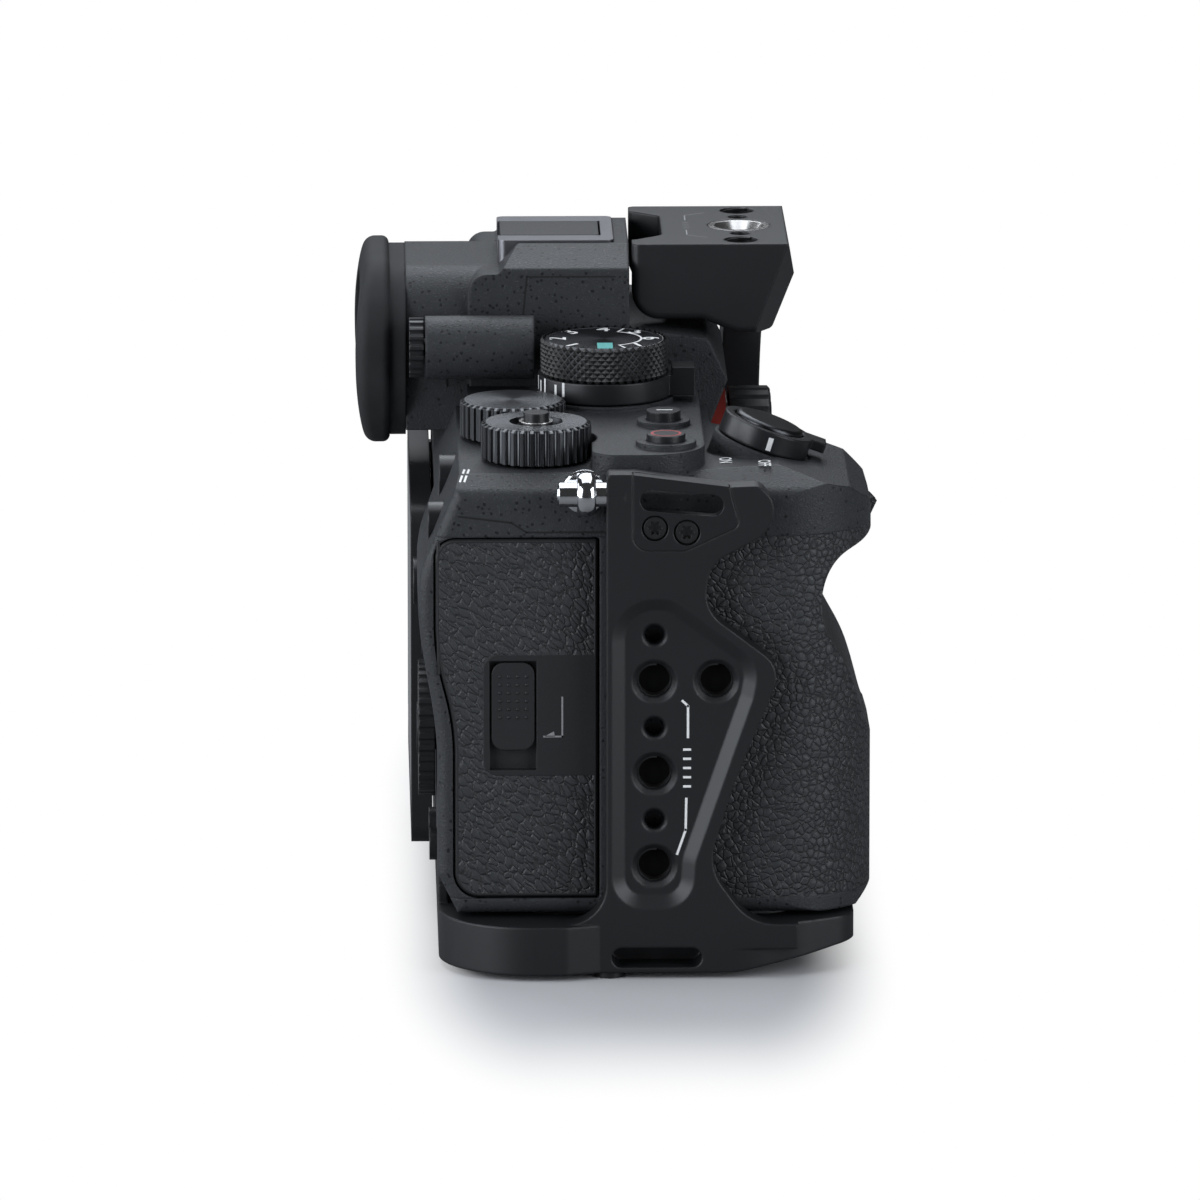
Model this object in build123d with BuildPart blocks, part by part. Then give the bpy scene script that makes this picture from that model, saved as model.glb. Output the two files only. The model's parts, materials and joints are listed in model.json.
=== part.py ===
"""Camera cage with a mirrorless camera fitted in it.

Frame, in millimetres: +X runs along the lens axis, -Y points to the grip side and
+Z is up. The origin is the mouth of the tripod thread in the underside of the base,
straight below the lens axis.
"""

import math
import os

from build123d import *

os.makedirs("parts", exist_ok=True)

# ---------------------------------------------------------------- driving dimensions
# Clearances
gap = 0.3  # between pieces that move past each other
slip = 0.05  # radial, pin or shank in its hole

# Cage: base
base_thick = 7.8
base_rear = 27.2  # rear edge, -X
base_front = 27.1  # front edge on the lens side
tongue_front = 39.2  # front edge under the grip
skirt_bulge = 1.8  # rear skirt stands out from the side plate
rear_lip_height = 3.1
rear_lip_thick = 1.5
pad_thick = 0.7
thread_radius = 2.75  # 1/4 inch thread, drawn as a plain bore
thread_depth = 5.5
base_thread_pitch = 20.0
screw_x = 12.5  # captive camera screw, ahead of the tripod thread
screw_head_radius = 7.0
screw_head_thick = 3.4
screw_radius = 3.175
stud_radius = 2.5
stud_drop = 1.0

# Cage: grip-side plate
plate_thick = 4.5
ear_rise = 3.6  # strap lug to the plate's top edge
plate_rear = 0.55  # rear edge, -X
hole_x = 7.1  # line of threads
hole_pitch = 15.05
hole_first_z = 17.2
side_thread_x = 16.9  # single thread beside the line
pin_radius = 1.6
field_depth = 1.2
field_slope = 60.0  # of its walls, from the vertical
insert_thick = 2.4
slot_length = 13.3
slot_width = 3.5
anchor_depth = 6.0
lug_pin_radius = 2.0
hole_chamfer = 0.85  # mouth of each thread in the side plate
pin_chamfer = 0.4

# Cage: left upright and top block
upright_thick = 5.2
arm_thick = 6.3
arm_rear = 20.8
lens_room = 42.5  # radius kept free round the lens axis
block_rear = 4.9
block_front = 30.3
block_nose = 31.4
block_half = 17.0
block_height = 14.8
block_hole_x = 22.7
insert_radius = 5.1
block_thread_y = 12.9
block_thread_depth = 7.0
block_rounding = 1.2

# Camera body
grip_side = 78.1  # lens axis to the grip-side face
left_side = 53.2  # lens axis to the left face
lug_drop = 5.5  # raised deck to the strap lug
front_face = 17.0
rear_face = 27.4
body_height = 74.5  # underside to the raised deck
deck_step = 2.6  # raised deck above the ledge round it
dial_terrace = 3.6  # raised deck above the terrace of the rear dials
grip_front = 42.1
grip_inner = 41.0  # lens axis to the grip's finger side
bottom_plate = 2.6
lens_height = 39.0  # camera underside to the lens axis
mount_radius = 32.6
flange_radius = 30.0
throat_radius = 23.5
ring_depth = 3.3
cap_radius = 31.0
cap_depth = 6.8
hump_half = 19.5
hump_rise = 18.3  # raised deck to the top of the hump
hump_rounding = 8.0
hump_step = 3.7  # top of the hump's front part above its rear part
hump_waist = 1.6  # rear part is narrower than the front part, each side
hump_rear = 31.9
shoe_half = 10.7
shoe_length = 18.8
shoe_front = 2.0
shoe_height = 4.1
eyecup_width = 44.0
eyecup_height = 30.4
eyecup_depth = 8.2
eyecup_collar = 2.6
eyecup_bulge = 66.0  # radius of its rear face, seen from the side
skin = 0.6  # leatherette
door_thick = 2.8
door_chamfer = 0.3
port_thick = 2.0
port_hinge_x, port_front = -15.9, 4.7
port_margin = 3.5  # top cover's seam to the upper port cover
upper_port = 20.0
port_bridge = 3.0
battery_door_x = (-10.0, 26.0)
battery_door_side = 72.0  # lens axis to the battery door's free edge
battery_hinge_side = 42.3
monitor_thick = 3.4
monitor_side = 33.0  # lens axis to the monitor's edge on the grip side
monitor_hinge_inset = 4.7
knuckle_reach = 13.5  # middle of the monitor's height to each end of its knuckle
screen_border = 4.0

# Controls
mode_x, mode_y = 0.1, -31.0
mode_radius = 10.45
mode_thick = 5.4
selector_radius = 10.75
selector_thick = 3.3
rear_dial_top = 2.7  # above the raised deck
left_dial_x, left_dial_y, left_dial_radius = -14.9, -44.3, 8.5
right_dial_x, right_dial_y, right_dial_radius = -11.4, -62.3, 8.85
c1_y = -52.0
rec_y = -69.0
deck_button_x = 9.2
shutter_x, shutter_y = 25.9, -58.0
shutter_tilt = 20.0
ring_radius = 7.4
ring_thick = 3.3
front_dial_y = -52.0
front_dial_radius = 7.6
front_dial_tilt = 25.0
barrel_radius = 5.15
barrel_y = -24.2
wheel_radius = 11.0
button_travel = 0.6

# ---------------------------------------------------------------- derived places
camera_z = base_thick + pad_thick
deck_z = camera_z + body_height
lug_z = deck_z - lug_drop
plate_top = lug_z + ear_rise
ledge_z = deck_z - deck_step
terrace_z = deck_z - dial_terrace
lens_z = camera_z + lens_height
hump_z = deck_z + hump_rise
plate_y = -(grip_side + 0.4)  # inner face of the side plate
plate_outer = plate_y - plate_thick
upright_y = left_side + 0.6  # inner face of the left upright
upright_outer = upright_y + upright_thick
block_z = hump_z + shoe_height + 0.4
block_floor = block_z - block_height
door_y = -grip_side


def side_plane(y):
    """Plane for (X, Z) sketches that faces the grip side at this Y."""
    return Plane(origin=(0, y, 0), x_dir=(1, 0, 0), z_dir=(0, -1, 0))


def front_plane(x):
    """Plane for (Y, Z) sketches that faces forward at this X."""
    return Plane(origin=(x, 0, 0), x_dir=(0, 1, 0), z_dir=(1, 0, 0))


def outline(corners, mode=Mode.ADD):
    """Closed face through (u, v, corner radius) triples."""
    with BuildLine() as loop:
        FilletPolyline(
            [(u, v) for u, v, _ in corners],
            radius=[r for _, _, r in corners],
            close=True,
        )
    return make_face(loop.edges(), mode=mode)


def knurl(radius, count, depth, width):
    """Cuts this many flutes into the rim of the sketch being drawn."""
    with PolarLocations(radius + width / 2 - depth, count):
        Circle(width / 2, mode=Mode.SUBTRACT)


# ---------------------------------------------------------------- cage frame
# The base and the grip-side plate are milled from one piece.
battery_room = (-13.0, 29.0, -(grip_side - 3.0), -37.0)  # x, x, y, y of the opening
skirt_y = plate_outer - skirt_bulge
foot_z = base_thick + 6.2

with BuildPart() as cage_frame:
    with BuildSketch(Plane.XY):
        outline(
            [
                (-base_rear, skirt_y, 15.0),
                (-7.0, skirt_y, 3.0),
                (-plate_rear - 1.0, plate_outer, 0),
                (22.0, plate_outer, 20.0),
                (31.0, plate_outer + 2.2, 12.0),
                (tongue_front, plate_outer + 7.0, 5.0),
                (tongue_front, -grip_inner + 5.0, 8.0),
                (base_front, -30.0, 8.0),
                (base_front, upright_outer, 8.0),
                (-base_rear, upright_outer, 10.0),
            ]
        )
    extrude(amount=base_thick)
    # underside of the tongue rises to the front
    with BuildSketch(side_plane(plate_outer - 5)):
        outline(
            [
                (20.0, 0, 12.0),
                (tongue_front + 2, 4.2, 0),
                (tongue_front + 2, -1.0, 0),
                (12.0, -1.0, 0),
                (12.0, 0, 0),
            ]
        )
    extrude(amount=-(plate_thick + 46), mode=Mode.SUBTRACT)
    # rear lip that keeps the camera from turning
    with BuildSketch(Plane.XY.offset(base_thick)):
        with Locations((-base_rear + rear_lip_thick / 2, -28.0)):
            Rectangle(rear_lip_thick, 78.0)
    extrude(amount=rear_lip_height)
    # side plate with its ear, waist and belly
    with BuildSketch(side_plane(plate_outer)):
        outline(
            [
                (-plate_rear, plate_top, 0.8),
                (-plate_rear, base_thick, 6.5),
                (-16.0, base_thick, 0),
                (-16.0, base_thick - 4, 0),
                (30.0, base_thick - 4, 0),
                (30.0, base_thick, 0),
                (22.5, base_thick, 8.0),
                (15.6, 17.2, 8.0),
                (19.4, 29.9, 20.0),
                (27.4, 49.6, 4.5),
                (15.0, 59.0, 6.0),
                (15.8, plate_top - 14.6, 5.0),
                (24.6, plate_top - 9.8, 4.0),
                (26.6, plate_top - 5.0, 3.5),
                (23.8, plate_top - 1.9, 2.2),
                (18.9, plate_top - 2.1, 0),
                (4.0, plate_top, 0.8),
            ]
        )
    extrude(amount=-plate_thick)
    # recessed field for the threads, with sloped walls
    with BuildPart(mode=Mode.PRIVATE) as field_room:
        with BuildSketch(side_plane(plate_outer + field_depth)):
            outline(
                [
                    (2.4, 12.5, 3.0),
                    (2.4, 58.9, 4.8),
                    (9.0, 58.9, 3.0),
                    (21.6, 49.6, 3.4),
                    (20.8, 45.2, 3.0),
                    (11.6, 18.6, 6.0),
                    (11.2, 12.5, 3.0),
                ]
            )
        extrude(amount=field_depth, taper=-field_slope)
    add(field_room.part, mode=Mode.SUBTRACT)
    # pocket for the strap insert
    with BuildSketch(side_plane(plate_outer)):
        outline(
            [
                (3.64, plate_top + 1, 0),
                (3.64, plate_top - 12.4, 2.6),
                (12.0, plate_top - 12.4, 2.4),
                (20.6, plate_top - 8.4, 1.4),
                (18.2, plate_top + 1, 0),
            ]
        )
    extrude(amount=-insert_thick, mode=Mode.SUBTRACT)
    # strap slot behind the insert
    with BuildSketch(
        Plane(origin=(11.4, plate_outer, plate_top - 4.6), x_dir=(1, 0, -0.087), z_dir=(0, -1, 0))
    ):
        SlotOverall(slot_length + 1.0, slot_width + 1.0)
    extrude(amount=-plate_thick, mode=Mode.SUBTRACT)
    # line of threads, the single thread and the locating holes between them
    thread_rows = [hole_first_z + i * hole_pitch for i in range(3)]
    with BuildSketch(side_plane(plate_outer)):
        with Locations(*[(hole_x, z) for z in thread_rows], (side_thread_x, thread_rows[-1])):
            Circle(thread_radius)
        with Locations(*[(hole_x, z + hole_pitch / 2) for z in thread_rows]):
            Circle(pin_radius)
    extrude(amount=-plate_thick, mode=Mode.SUBTRACT)
    # chamfers at their mouths
    field_y = plate_outer + field_depth
    mouths = [(hole_x, z, thread_radius, hole_chamfer) for z in thread_rows]
    mouths += [(side_thread_x, thread_rows[-1], thread_radius, hole_chamfer)]
    mouths += [(hole_x, z + hole_pitch / 2, pin_radius, pin_chamfer) for z in thread_rows]
    for x, z, radius, bevel in mouths:
        with BuildPart(mode=Mode.PRIVATE) as mouth:
            with BuildSketch(Plane(origin=(x, field_y, z), x_dir=(1, 0, 0), z_dir=(0, 1, 0))):
                Circle(radius + bevel)
            extrude(amount=bevel, taper=45)
        add(mouth.part, mode=Mode.SUBTRACT)
    # blind anchor slot low in the plate
    with BuildSketch(side_plane(plate_outer)):
        with Locations((7.5, 2.45)):
            SlotOverall(14.4, 3.3)
    extrude(amount=-anchor_depth, mode=Mode.SUBTRACT)
    # battery opening
    with BuildSketch(Plane.XY):
        x0, x1, y0, y1 = battery_room
        with Locations(((x0 + x1) / 2, (y0 + y1) / 2)):
            RectangleRounded(x1 - x0, y1 - y0, 4.0)
    extrude(amount=base_thick, mode=Mode.SUBTRACT)
    # tripod threads, camera screw and upright screws
    with Locations((0, 0, 0), (0, base_thread_pitch, 0), (0, -base_thread_pitch, 0)):
        Cylinder(
            thread_radius,
            thread_depth,
            align=(Align.CENTER, Align.CENTER, Align.MIN),
            mode=Mode.SUBTRACT,
        )
    with Locations((screw_x, 0, 0)):
        Cylinder(
            screw_radius + gap,
            base_thick,
            align=(Align.CENTER, Align.CENTER, Align.MIN),
            mode=Mode.SUBTRACT,
        )
        Cylinder(
            screw_head_radius + gap,
            screw_head_thick + 2 * gap,
            align=(Align.CENTER, Align.CENTER, Align.MIN),
            mode=Mode.SUBTRACT,
        )
    upright_screws = [(-18.0, (upright_y + upright_outer) / 2), (19.0, (upright_y + upright_outer) / 2)]
    with Locations(*[(x, y, 0) for x, y in upright_screws]):
        Cylinder(
            1.5 + slip,
            base_thick,
            align=(Align.CENTER, Align.CENTER, Align.MIN),
            mode=Mode.SUBTRACT,
        )
    # bore for the stud
    stud_y = plate_y - 1.6
    with Locations((0, stud_y, 0)):
        Cylinder(1.4, 0.6, align=(Align.CENTER, Align.CENTER, Align.MIN), mode=Mode.SUBTRACT)
    # hook round the strap lug and the bore of its pin
    lug_y = plate_outer + 2.2
    with BuildSketch(front_plane(-plate_rear)):
        with Locations((lug_y, lug_z)):
            Circle(lug_pin_radius + slip)
    extrude(amount=3.0, mode=Mode.SUBTRACT)

# ---------------------------------------------------------------- cage: small pieces
with BuildPart() as strap_insert:
    with BuildSketch(side_plane(plate_outer)):
        outline(
            [
                (3.64 + slip, plate_top - 0.05, 0),
                (3.64 + slip, plate_top - 12.4 + slip, 2.6),
                (12.0, plate_top - 12.4 + slip, 2.4),
                (20.6 - slip, plate_top - 8.4, 1.4),
                (18.2 + 0.7, plate_top - 2.0, 0),
            ]
        )
    extrude(amount=-insert_thick)
    with BuildSketch(
        Plane(origin=(11.4, plate_outer, plate_top - 4.6), x_dir=(1, 0, -0.087), z_dir=(0, -1, 0))
    ):
        SlotOverall(slot_length, slot_width)
    extrude(amount=-insert_thick, mode=Mode.SUBTRACT)
    strap_screw_places = [(7.14, plate_top - 8.7), (12.2, plate_top - 9.4)]
    with BuildSketch(side_plane(plate_outer)):
        with Locations(*strap_screw_places):
            Circle(2.1)
    extrude(amount=-insert_thick, mode=Mode.SUBTRACT)

with BuildPart() as strap_screws:
    with BuildSketch(side_plane(plate_outer + 0.2)):
        with Locations(*strap_screw_places):
            Circle(2.1 - slip)
    extrude(amount=-(insert_thick - 0.2))
    with BuildSketch(side_plane(plate_outer + 0.2)):
        with Locations(*strap_screw_places):
            RegularPolygon(0.85, 6)
    extrude(amount=-1.0, mode=Mode.SUBTRACT)

with BuildPart() as base_stud:
    with Locations((0, stud_y, -stud_drop)):
        Cylinder(stud_radius, stud_drop, align=(Align.CENTER, Align.CENTER, Align.MIN))
        Cylinder(1.4, stud_drop + 0.6, align=(Align.CENTER, Align.CENTER, Align.MIN))
        Box(3.2, 0.8, 0.5, align=(Align.CENTER, Align.CENTER, Align.MIN), mode=Mode.SUBTRACT)

with BuildPart() as base_screws:
    with Locations(*[(x, y, -stud_drop) for x, y in upright_screws]):
        Cylinder(stud_radius, stud_drop, align=(Align.CENTER, Align.CENTER, Align.MIN))
        Cylinder(1.5, stud_drop + base_thick + 4.0, align=(Align.CENTER, Align.CENTER, Align.MIN))
        Cylinder(0.9, 0.7, align=(Align.CENTER, Align.CENTER, Align.MIN), mode=Mode.SUBTRACT)

with BuildPart() as lug_pin:
    with BuildSketch(front_plane(-plate_rear + 3.0 - gap)):
        with Locations((lug_y, lug_z)):
            Circle(lug_pin_radius)
    extrude(amount=-(8.3 + 3.0 - gap - plate_rear))
    with BuildSketch(front_plane(-8.3)):
        with Locations((lug_y, lug_z)):
            Rectangle(0.7, 5.0)
    extrude(amount=1.0, mode=Mode.SUBTRACT)

pad_x, pad_y = (-22.0, 15.5), (-33.0, 44.0)
with BuildPart() as base_pad:
    with BuildSketch(Plane.XY.offset(base_thick)):
        with Locations(((pad_x[0] + pad_x[1]) / 2, (pad_y[0] + pad_y[1]) / 2)):
            RectangleRounded(pad_x[1] - pad_x[0], pad_y[1] - pad_y[0], 4.0)
        with Locations((screw_x, 0)):
            Circle(screw_radius + 2 * gap, mode=Mode.SUBTRACT)
    extrude(amount=pad_thick)

with BuildPart() as camera_screw:
    with Locations((screw_x, 0, gap)):
        Cylinder(screw_head_radius, screw_head_thick, align=(Align.CENTER, Align.CENTER, Align.MIN))
        Cylinder(screw_radius, camera_z - gap + 5.0, align=(Align.CENTER, Align.CENTER, Align.MIN))
        Box(9.0, 1.4, 1.4, align=(Align.CENTER, Align.CENTER, Align.MIN), mode=Mode.SUBTRACT)

# ---------------------------------------------------------------- cage: left upright
arm_front = arm_rear + arm_thick
with BuildPart() as left_upright:
    # arm in front of the shoulder, hollowed round the lens
    with BuildSketch(front_plane(arm_rear)):
        outline(
            [
                (upright_y - 2.8, base_thick, 0),
                (upright_outer, base_thick, 0),
                (upright_outer, 64.0, 6.0),
                (27.0, block_z - 6.0, 4.0),
                (block_half + 5.4, block_z - 1.6, 1.5),
                (block_half, block_z - 1.6, 0),
                (block_half, lens_z + 20, 0),
                (upright_y - 2.8, 30.0, 6.0),
            ]
        )
        with Locations((0, lens_z)):
            Circle(lens_room, mode=Mode.SUBTRACT)
    extrude(amount=arm_thick)
    # side plate with its foot
    with BuildSketch(side_plane(upright_y)):
        outline(
            [
                (-24.0, base_thick, 0),
                (arm_front, base_thick, 0),
                (arm_front, 66.0, 5.0),
                (12.0, 66.0, 5.0),
                (8.0, 58.0, 5.0),
                (8.0, foot_z, 5.0),
                (-24.0, foot_z, 3.0),
            ]
        )
    extrude(amount=-upright_thick)
    # flange beside the block
    with BuildSketch(side_plane(block_half)):
        outline(
            [
                (10.0, block_floor + 3.0, 2.0),
                (arm_front, block_floor + 3.0, 0),
                (arm_front, block_z - 1.6, 0),
                (10.0, block_z - 1.6, 2.0),
            ]
        )
    extrude(amount=-5.4)
    upright_threads = [(17.5, 24.0 + i * hole_pitch) for i in range(3)]
    with BuildSketch(side_plane(upright_y)):
        with Locations(*upright_threads):
            Circle(thread_radius)
    extrude(amount=-upright_thick, mode=Mode.SUBTRACT)
    block_screw_places = [(14.0, block_floor + 7.6), (23.4, block_floor + 7.6)]
    with BuildSketch(side_plane(block_half)):
        with Locations(*block_screw_places):
            Circle(2.5 + slip)
    extrude(amount=-5.4, mode=Mode.SUBTRACT)
    with Locations(*[(x, y, base_thick) for x, y in upright_screws]):
        Cylinder(
            1.5 + slip,
            4.0,
            align=(Align.CENTER, Align.CENTER, Align.MIN),
            mode=Mode.SUBTRACT,
        )

# ---------------------------------------------------------------- cage: top block
notch_half = 9.6
with BuildPart() as top_block:
    with BuildSketch(side_plane(-block_half)):
        outline(
            [
                (block_rear, block_z, 0),
                (block_front, block_z, 0),
                (block_nose, block_z - 5.9, 0),
                (block_nose - 3.6, block_floor, 0.8),
                (block_nose - 9.6, block_floor, 1.0),
                (block_nose - 15.0, block_floor + 2.3, 2.0),
                (block_rear, block_floor + 2.3, 4.5),
            ]
        )
    extrude(amount=-2 * block_half)
    fillet(top_block.edges().filter_by(Axis.Z).group_by(Axis.X)[0], block_rounding)
    # facets at the two front corners
    for side in (-1, 1):
        with BuildPart(mode=Mode.PRIVATE) as facet:
            facet_plane = Plane(
                origin=(block_front, side * block_half, block_z),
                z_dir=(1.0, side * 0.55, -0.37),
            )
            with BuildSketch(facet_plane):
                Rectangle(80, 80)
            extrude(amount=20)
        add(facet.part, mode=Mode.SUBTRACT)
    # notch at the rear round the shoe
    with BuildSketch(Plane.XY.offset(block_z)):
        outline(
            [
                (block_rear - 1, -notch_half - 3.4, 0),
                (block_rear + 0.6, -notch_half - 3.0, 1.0),
                (block_rear + 5.0, -notch_half + 1.0, 2.0),
                (block_rear + 5.0, notch_half - 1.0, 2.0),
                (block_rear + 0.6, notch_half + 3.0, 1.0),
                (block_rear - 1, notch_half + 3.4, 0),
            ]
        )
    extrude(amount=-block_height, mode=Mode.SUBTRACT)
    # seat of the steel insert, threads and locating holes
    with Locations((block_hole_x, 0, block_z)):
        Cylinder(
            insert_radius,
            8.0,
            align=(Align.CENTER, Align.CENTER, Align.MAX),
            mode=Mode.SUBTRACT,
        )
    with Locations((block_hole_x, -block_thread_y, block_z), (block_hole_x, block_thread_y, block_z)):
        Cylinder(
            thread_radius,
            block_thread_depth,
            align=(Align.CENTER, Align.CENTER, Align.MAX),
            mode=Mode.SUBTRACT,
        )
    with Locations((block_hole_x, -7.3, block_z), (block_hole_x, 7.3, block_z)):
        Cylinder(
            pin_radius,
            5.0,
            align=(Align.CENTER, Align.CENTER, Align.MAX),
            mode=Mode.SUBTRACT,
        )
    with BuildSketch(side_plane(block_half)):
        with Locations(*block_screw_places):
            Circle(1.5 + slip)
    extrude(amount=1.8, mode=Mode.SUBTRACT)

with BuildPart() as top_thread_insert:
    with Locations((block_hole_x, 0, block_z)):
        Cylinder(insert_radius - slip, 8.0, align=(Align.CENTER, Align.CENTER, Align.MAX))
        Cylinder(
            thread_radius,
            8.0,
            align=(Align.CENTER, Align.CENTER, Align.MAX),
            mode=Mode.SUBTRACT,
        )
        Cone(
            thread_radius,
            insert_radius - 1.0,
            1.6,
            align=(Align.CENTER, Align.CENTER, Align.MAX),
            mode=Mode.SUBTRACT,
        )

with BuildPart() as block_screws:
    with BuildSketch(side_plane(block_half + 5.4 - 0.4)):
        with Locations(*block_screw_places):
            Circle(2.5)
    extrude(amount=5.0)
    with BuildSketch(side_plane(block_half)):
        with Locations(*block_screw_places):
            Circle(1.5)
    extrude(amount=1.8)
    with BuildSketch(side_plane(block_half + 5.4 - 0.4)):
        with Locations(*block_screw_places):
            RegularPolygon(1.25, 6)
    extrude(amount=1.6, mode=Mode.SUBTRACT)

# ---------------------------------------------------------------- camera: outer form
# One form is drawn from above, from the side and from the front, and the covers are
# then cut out of it along their seams.
seam_z = deck_z - 13.0  # lower edge of the top cover
grip_floor = camera_z + bottom_plate
rear_seam = -18.0
edge_rounding = 1.8  # rear edge beside the card door
rear_bulge = (-rear_face - 2.8, camera_z + 46.5)
rear_knee = (-rear_face - 2.2, camera_z + 57.0)
shoulder = (grip_front + 0.3, camera_z + 60.8)
waist = [(37.6, 58.0), (34.4, 53.6), (34.3, 46.6), (38.4, 38.3), (41.3, 29.0)]  # X, height

with BuildPart() as body_form:
    with BuildSketch(Plane.XY):
        outline(
            [
                (-rear_face - 3.0, door_y, 0),
                (grip_front, door_y, 15.0),
                (grip_front, -grip_inner - 2.0, 8.0),
                (front_face, -grip_inner + 4.0, 4.0),
                (front_face, left_side, 7.0),
                (-rear_face, left_side, 6.0),
                (-rear_face, -grip_inner + 3.0, 6.0),
                (-rear_face - 3.0, -grip_inner - 4.0, 6.0),
            ]
        )
    extrude(amount=ledge_z)
    # seen from the side
    with BuildSketch(side_plane(door_y - 1)):
        with BuildLine() as side_view:
            Polyline(
                (grip_front, grip_floor),
                (grip_front, camera_z + 2.5),
                (grip_front - 2.5, camera_z),
                (-rear_face + 3.2, camera_z),
                (-rear_face, camera_z + 6.5),
                (-rear_face, camera_z + 24.0),
            )
            Spline(
                (-rear_face, camera_z + 24.0),
                rear_bulge,
                rear_knee,
                tangents=[(0, 1), (0.35, 1)],
            )
            Polyline(
                rear_knee,
                (-rear_face + 3.6, terrace_z),
                (14.0, terrace_z + 0.4),
                (27.0, ledge_z),
                (38.4, ledge_z - 3.4),
                (41.4, ledge_z - 6.0),
                (shoulder[0], shoulder[1] + 2.0),
                shoulder,
            )
            Spline(
                shoulder,
                *[(x, camera_z + height) for x, height in waist],
                (grip_front, grip_floor),
                tangents=[(-0.5, -1), (0, -1)],
            )
        make_face()
    extrude(amount=-(grip_side + left_side + 2), mode=Mode.INTERSECT)
    side_face = body_form.faces().filter_by(Plane.XZ).sort_by(Axis.Y)[0]
    fillet([edge for edge in side_face.edges() if edge.center().X < -rear_face + 4.0], edge_rounding)
    # seen from the front
    with BuildSketch(front_plane(-rear_face - 10)):
        outline(
            [
                (door_y, camera_z, 2.0),
                (left_side, camera_z, 3.0),
                (left_side, ledge_z - 1.0, 6.0),
                (-20.0, ledge_z + 0.2, 0),
                (door_y + 7.0, ledge_z + 0.2, 2.0),
                (door_y, ledge_z - 3.2, 2.0),
            ]
        )
    extrude(amount=100, mode=Mode.INTERSECT)


def slab(x0, x1, y0, y1, z0, z1, mode=Mode.ADD):
    """Box between two corners."""
    with Locations(((x0 + x1) / 2, (y0 + y1) / 2, (z0 + z1) / 2)):
        Box(x1 - x0, y1 - y0, z1 - z0, mode=mode)


def rod(plane, radius, length, mode=Mode.ADD, bore=0.0):
    """Round bar or tube that stands on a plane."""
    with BuildSketch(plane) as section:
        Circle(radius)
        if bore:
            Circle(bore, mode=Mode.SUBTRACT)
    extrude(section.sketch, amount=length, mode=mode)


def upright_axis(x, y, z):
    """Plane that faces up at this place."""
    return Plane(origin=(x, y, z), x_dir=(1, 0, 0), z_dir=(0, 0, 1))


def forward_axis(x, y, z):
    """Plane that faces forward at this place."""
    return Plane(origin=(x, y, z), x_dir=(0, 1, 0), z_dir=(1, 0, 0))


def rear_axis(x, y, z):
    """Plane that faces the back at this place."""
    return Plane(origin=(x, y, z), x_dir=(0, 1, 0), z_dir=(-1, 0, 0))


def rear_surface(z):
    """X of the sloping part of the back at this height."""
    low_x, low_z = rear_knee
    top_x, top_z = -rear_face + 3.6, terrace_z
    return low_x + (top_x - low_x) * (z - low_z) / (top_z - low_z)


far = 200.0

# ---------------------------------------------------------------- camera: hump
hump_floor = terrace_z - 4.0
barrel_z = deck_z + 7.3
barrel_rear, barrel_front = -28.8, -11.2
with BuildPart() as camera_hump:
    # front part, with the step up to the shoe and the slopes beside it
    with BuildSketch(side_plane(-far / 2)):
        outline(
            [
                (-21.6, hump_floor, 0),
                (-21.6, hump_z, 3.0),
                (-16.9, hump_z, 1.0),
                (-13.6, hump_z + hump_step, 0.8),
                (block_rear - 0.5, hump_z + hump_step, 0),
                (block_rear - 0.5, block_floor + 1.4, 0),
                (front_face + 0.2, block_floor - 0.4, 1.0),
                (front_face + 3.4, deck_z + 1.0, 0.6),
                (front_face, hump_floor, 0),
            ]
        )
    extrude(amount=-far)
    with BuildSketch(front_plane(-far / 2)):
        outline(
            [
                (-hump_half - 1.2, hump_floor - 1.0, 0),
                (-hump_half, deck_z + 4.0, 3.0),
                (-hump_half + 0.4, hump_z + 0.9, 0.5),
                (-shoe_half - 0.6, hump_z + hump_step, 0),
                (shoe_half + 0.6, hump_z + hump_step, 0),
                (hump_half - 0.4, hump_z + 0.9, 0.5),
                (hump_half, deck_z + 4.0, 3.0),
                (hump_half + 1.2, hump_floor - 1.0, 0),
            ]
        )
    extrude(amount=far, mode=Mode.INTERSECT)
    # rear part, rounded, that carries the eyepiece
    with BuildSketch(front_plane(-hump_rear)):
        outline(
            [
                (-hump_half + hump_waist, hump_floor, 0),
                (-hump_half + hump_waist, hump_z, hump_rounding),
                (hump_half - hump_waist, hump_z, hump_rounding),
                (hump_half - hump_waist, hump_floor, 0),
            ]
        )
    extrude(amount=hump_rear)
    rod(forward_axis(barrel_rear, barrel_y, barrel_z),
        barrel_radius, barrel_front - barrel_rear)
    slab(barrel_rear + 4.0, barrel_front, barrel_y, -10.0, barrel_z - 4.0, barrel_z + 4.0)
    rod(forward_axis(barrel_rear, barrel_y, barrel_z),
        1.5 + slip, 5.0, Mode.SUBTRACT)
    rod(forward_axis(front_face, 0, lens_z),
        mount_radius + 0.1, far, Mode.SUBTRACT)
    slab(-hump_rear, shoe_front, -shoe_half, shoe_half, hump_z, far, Mode.SUBTRACT)

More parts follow.
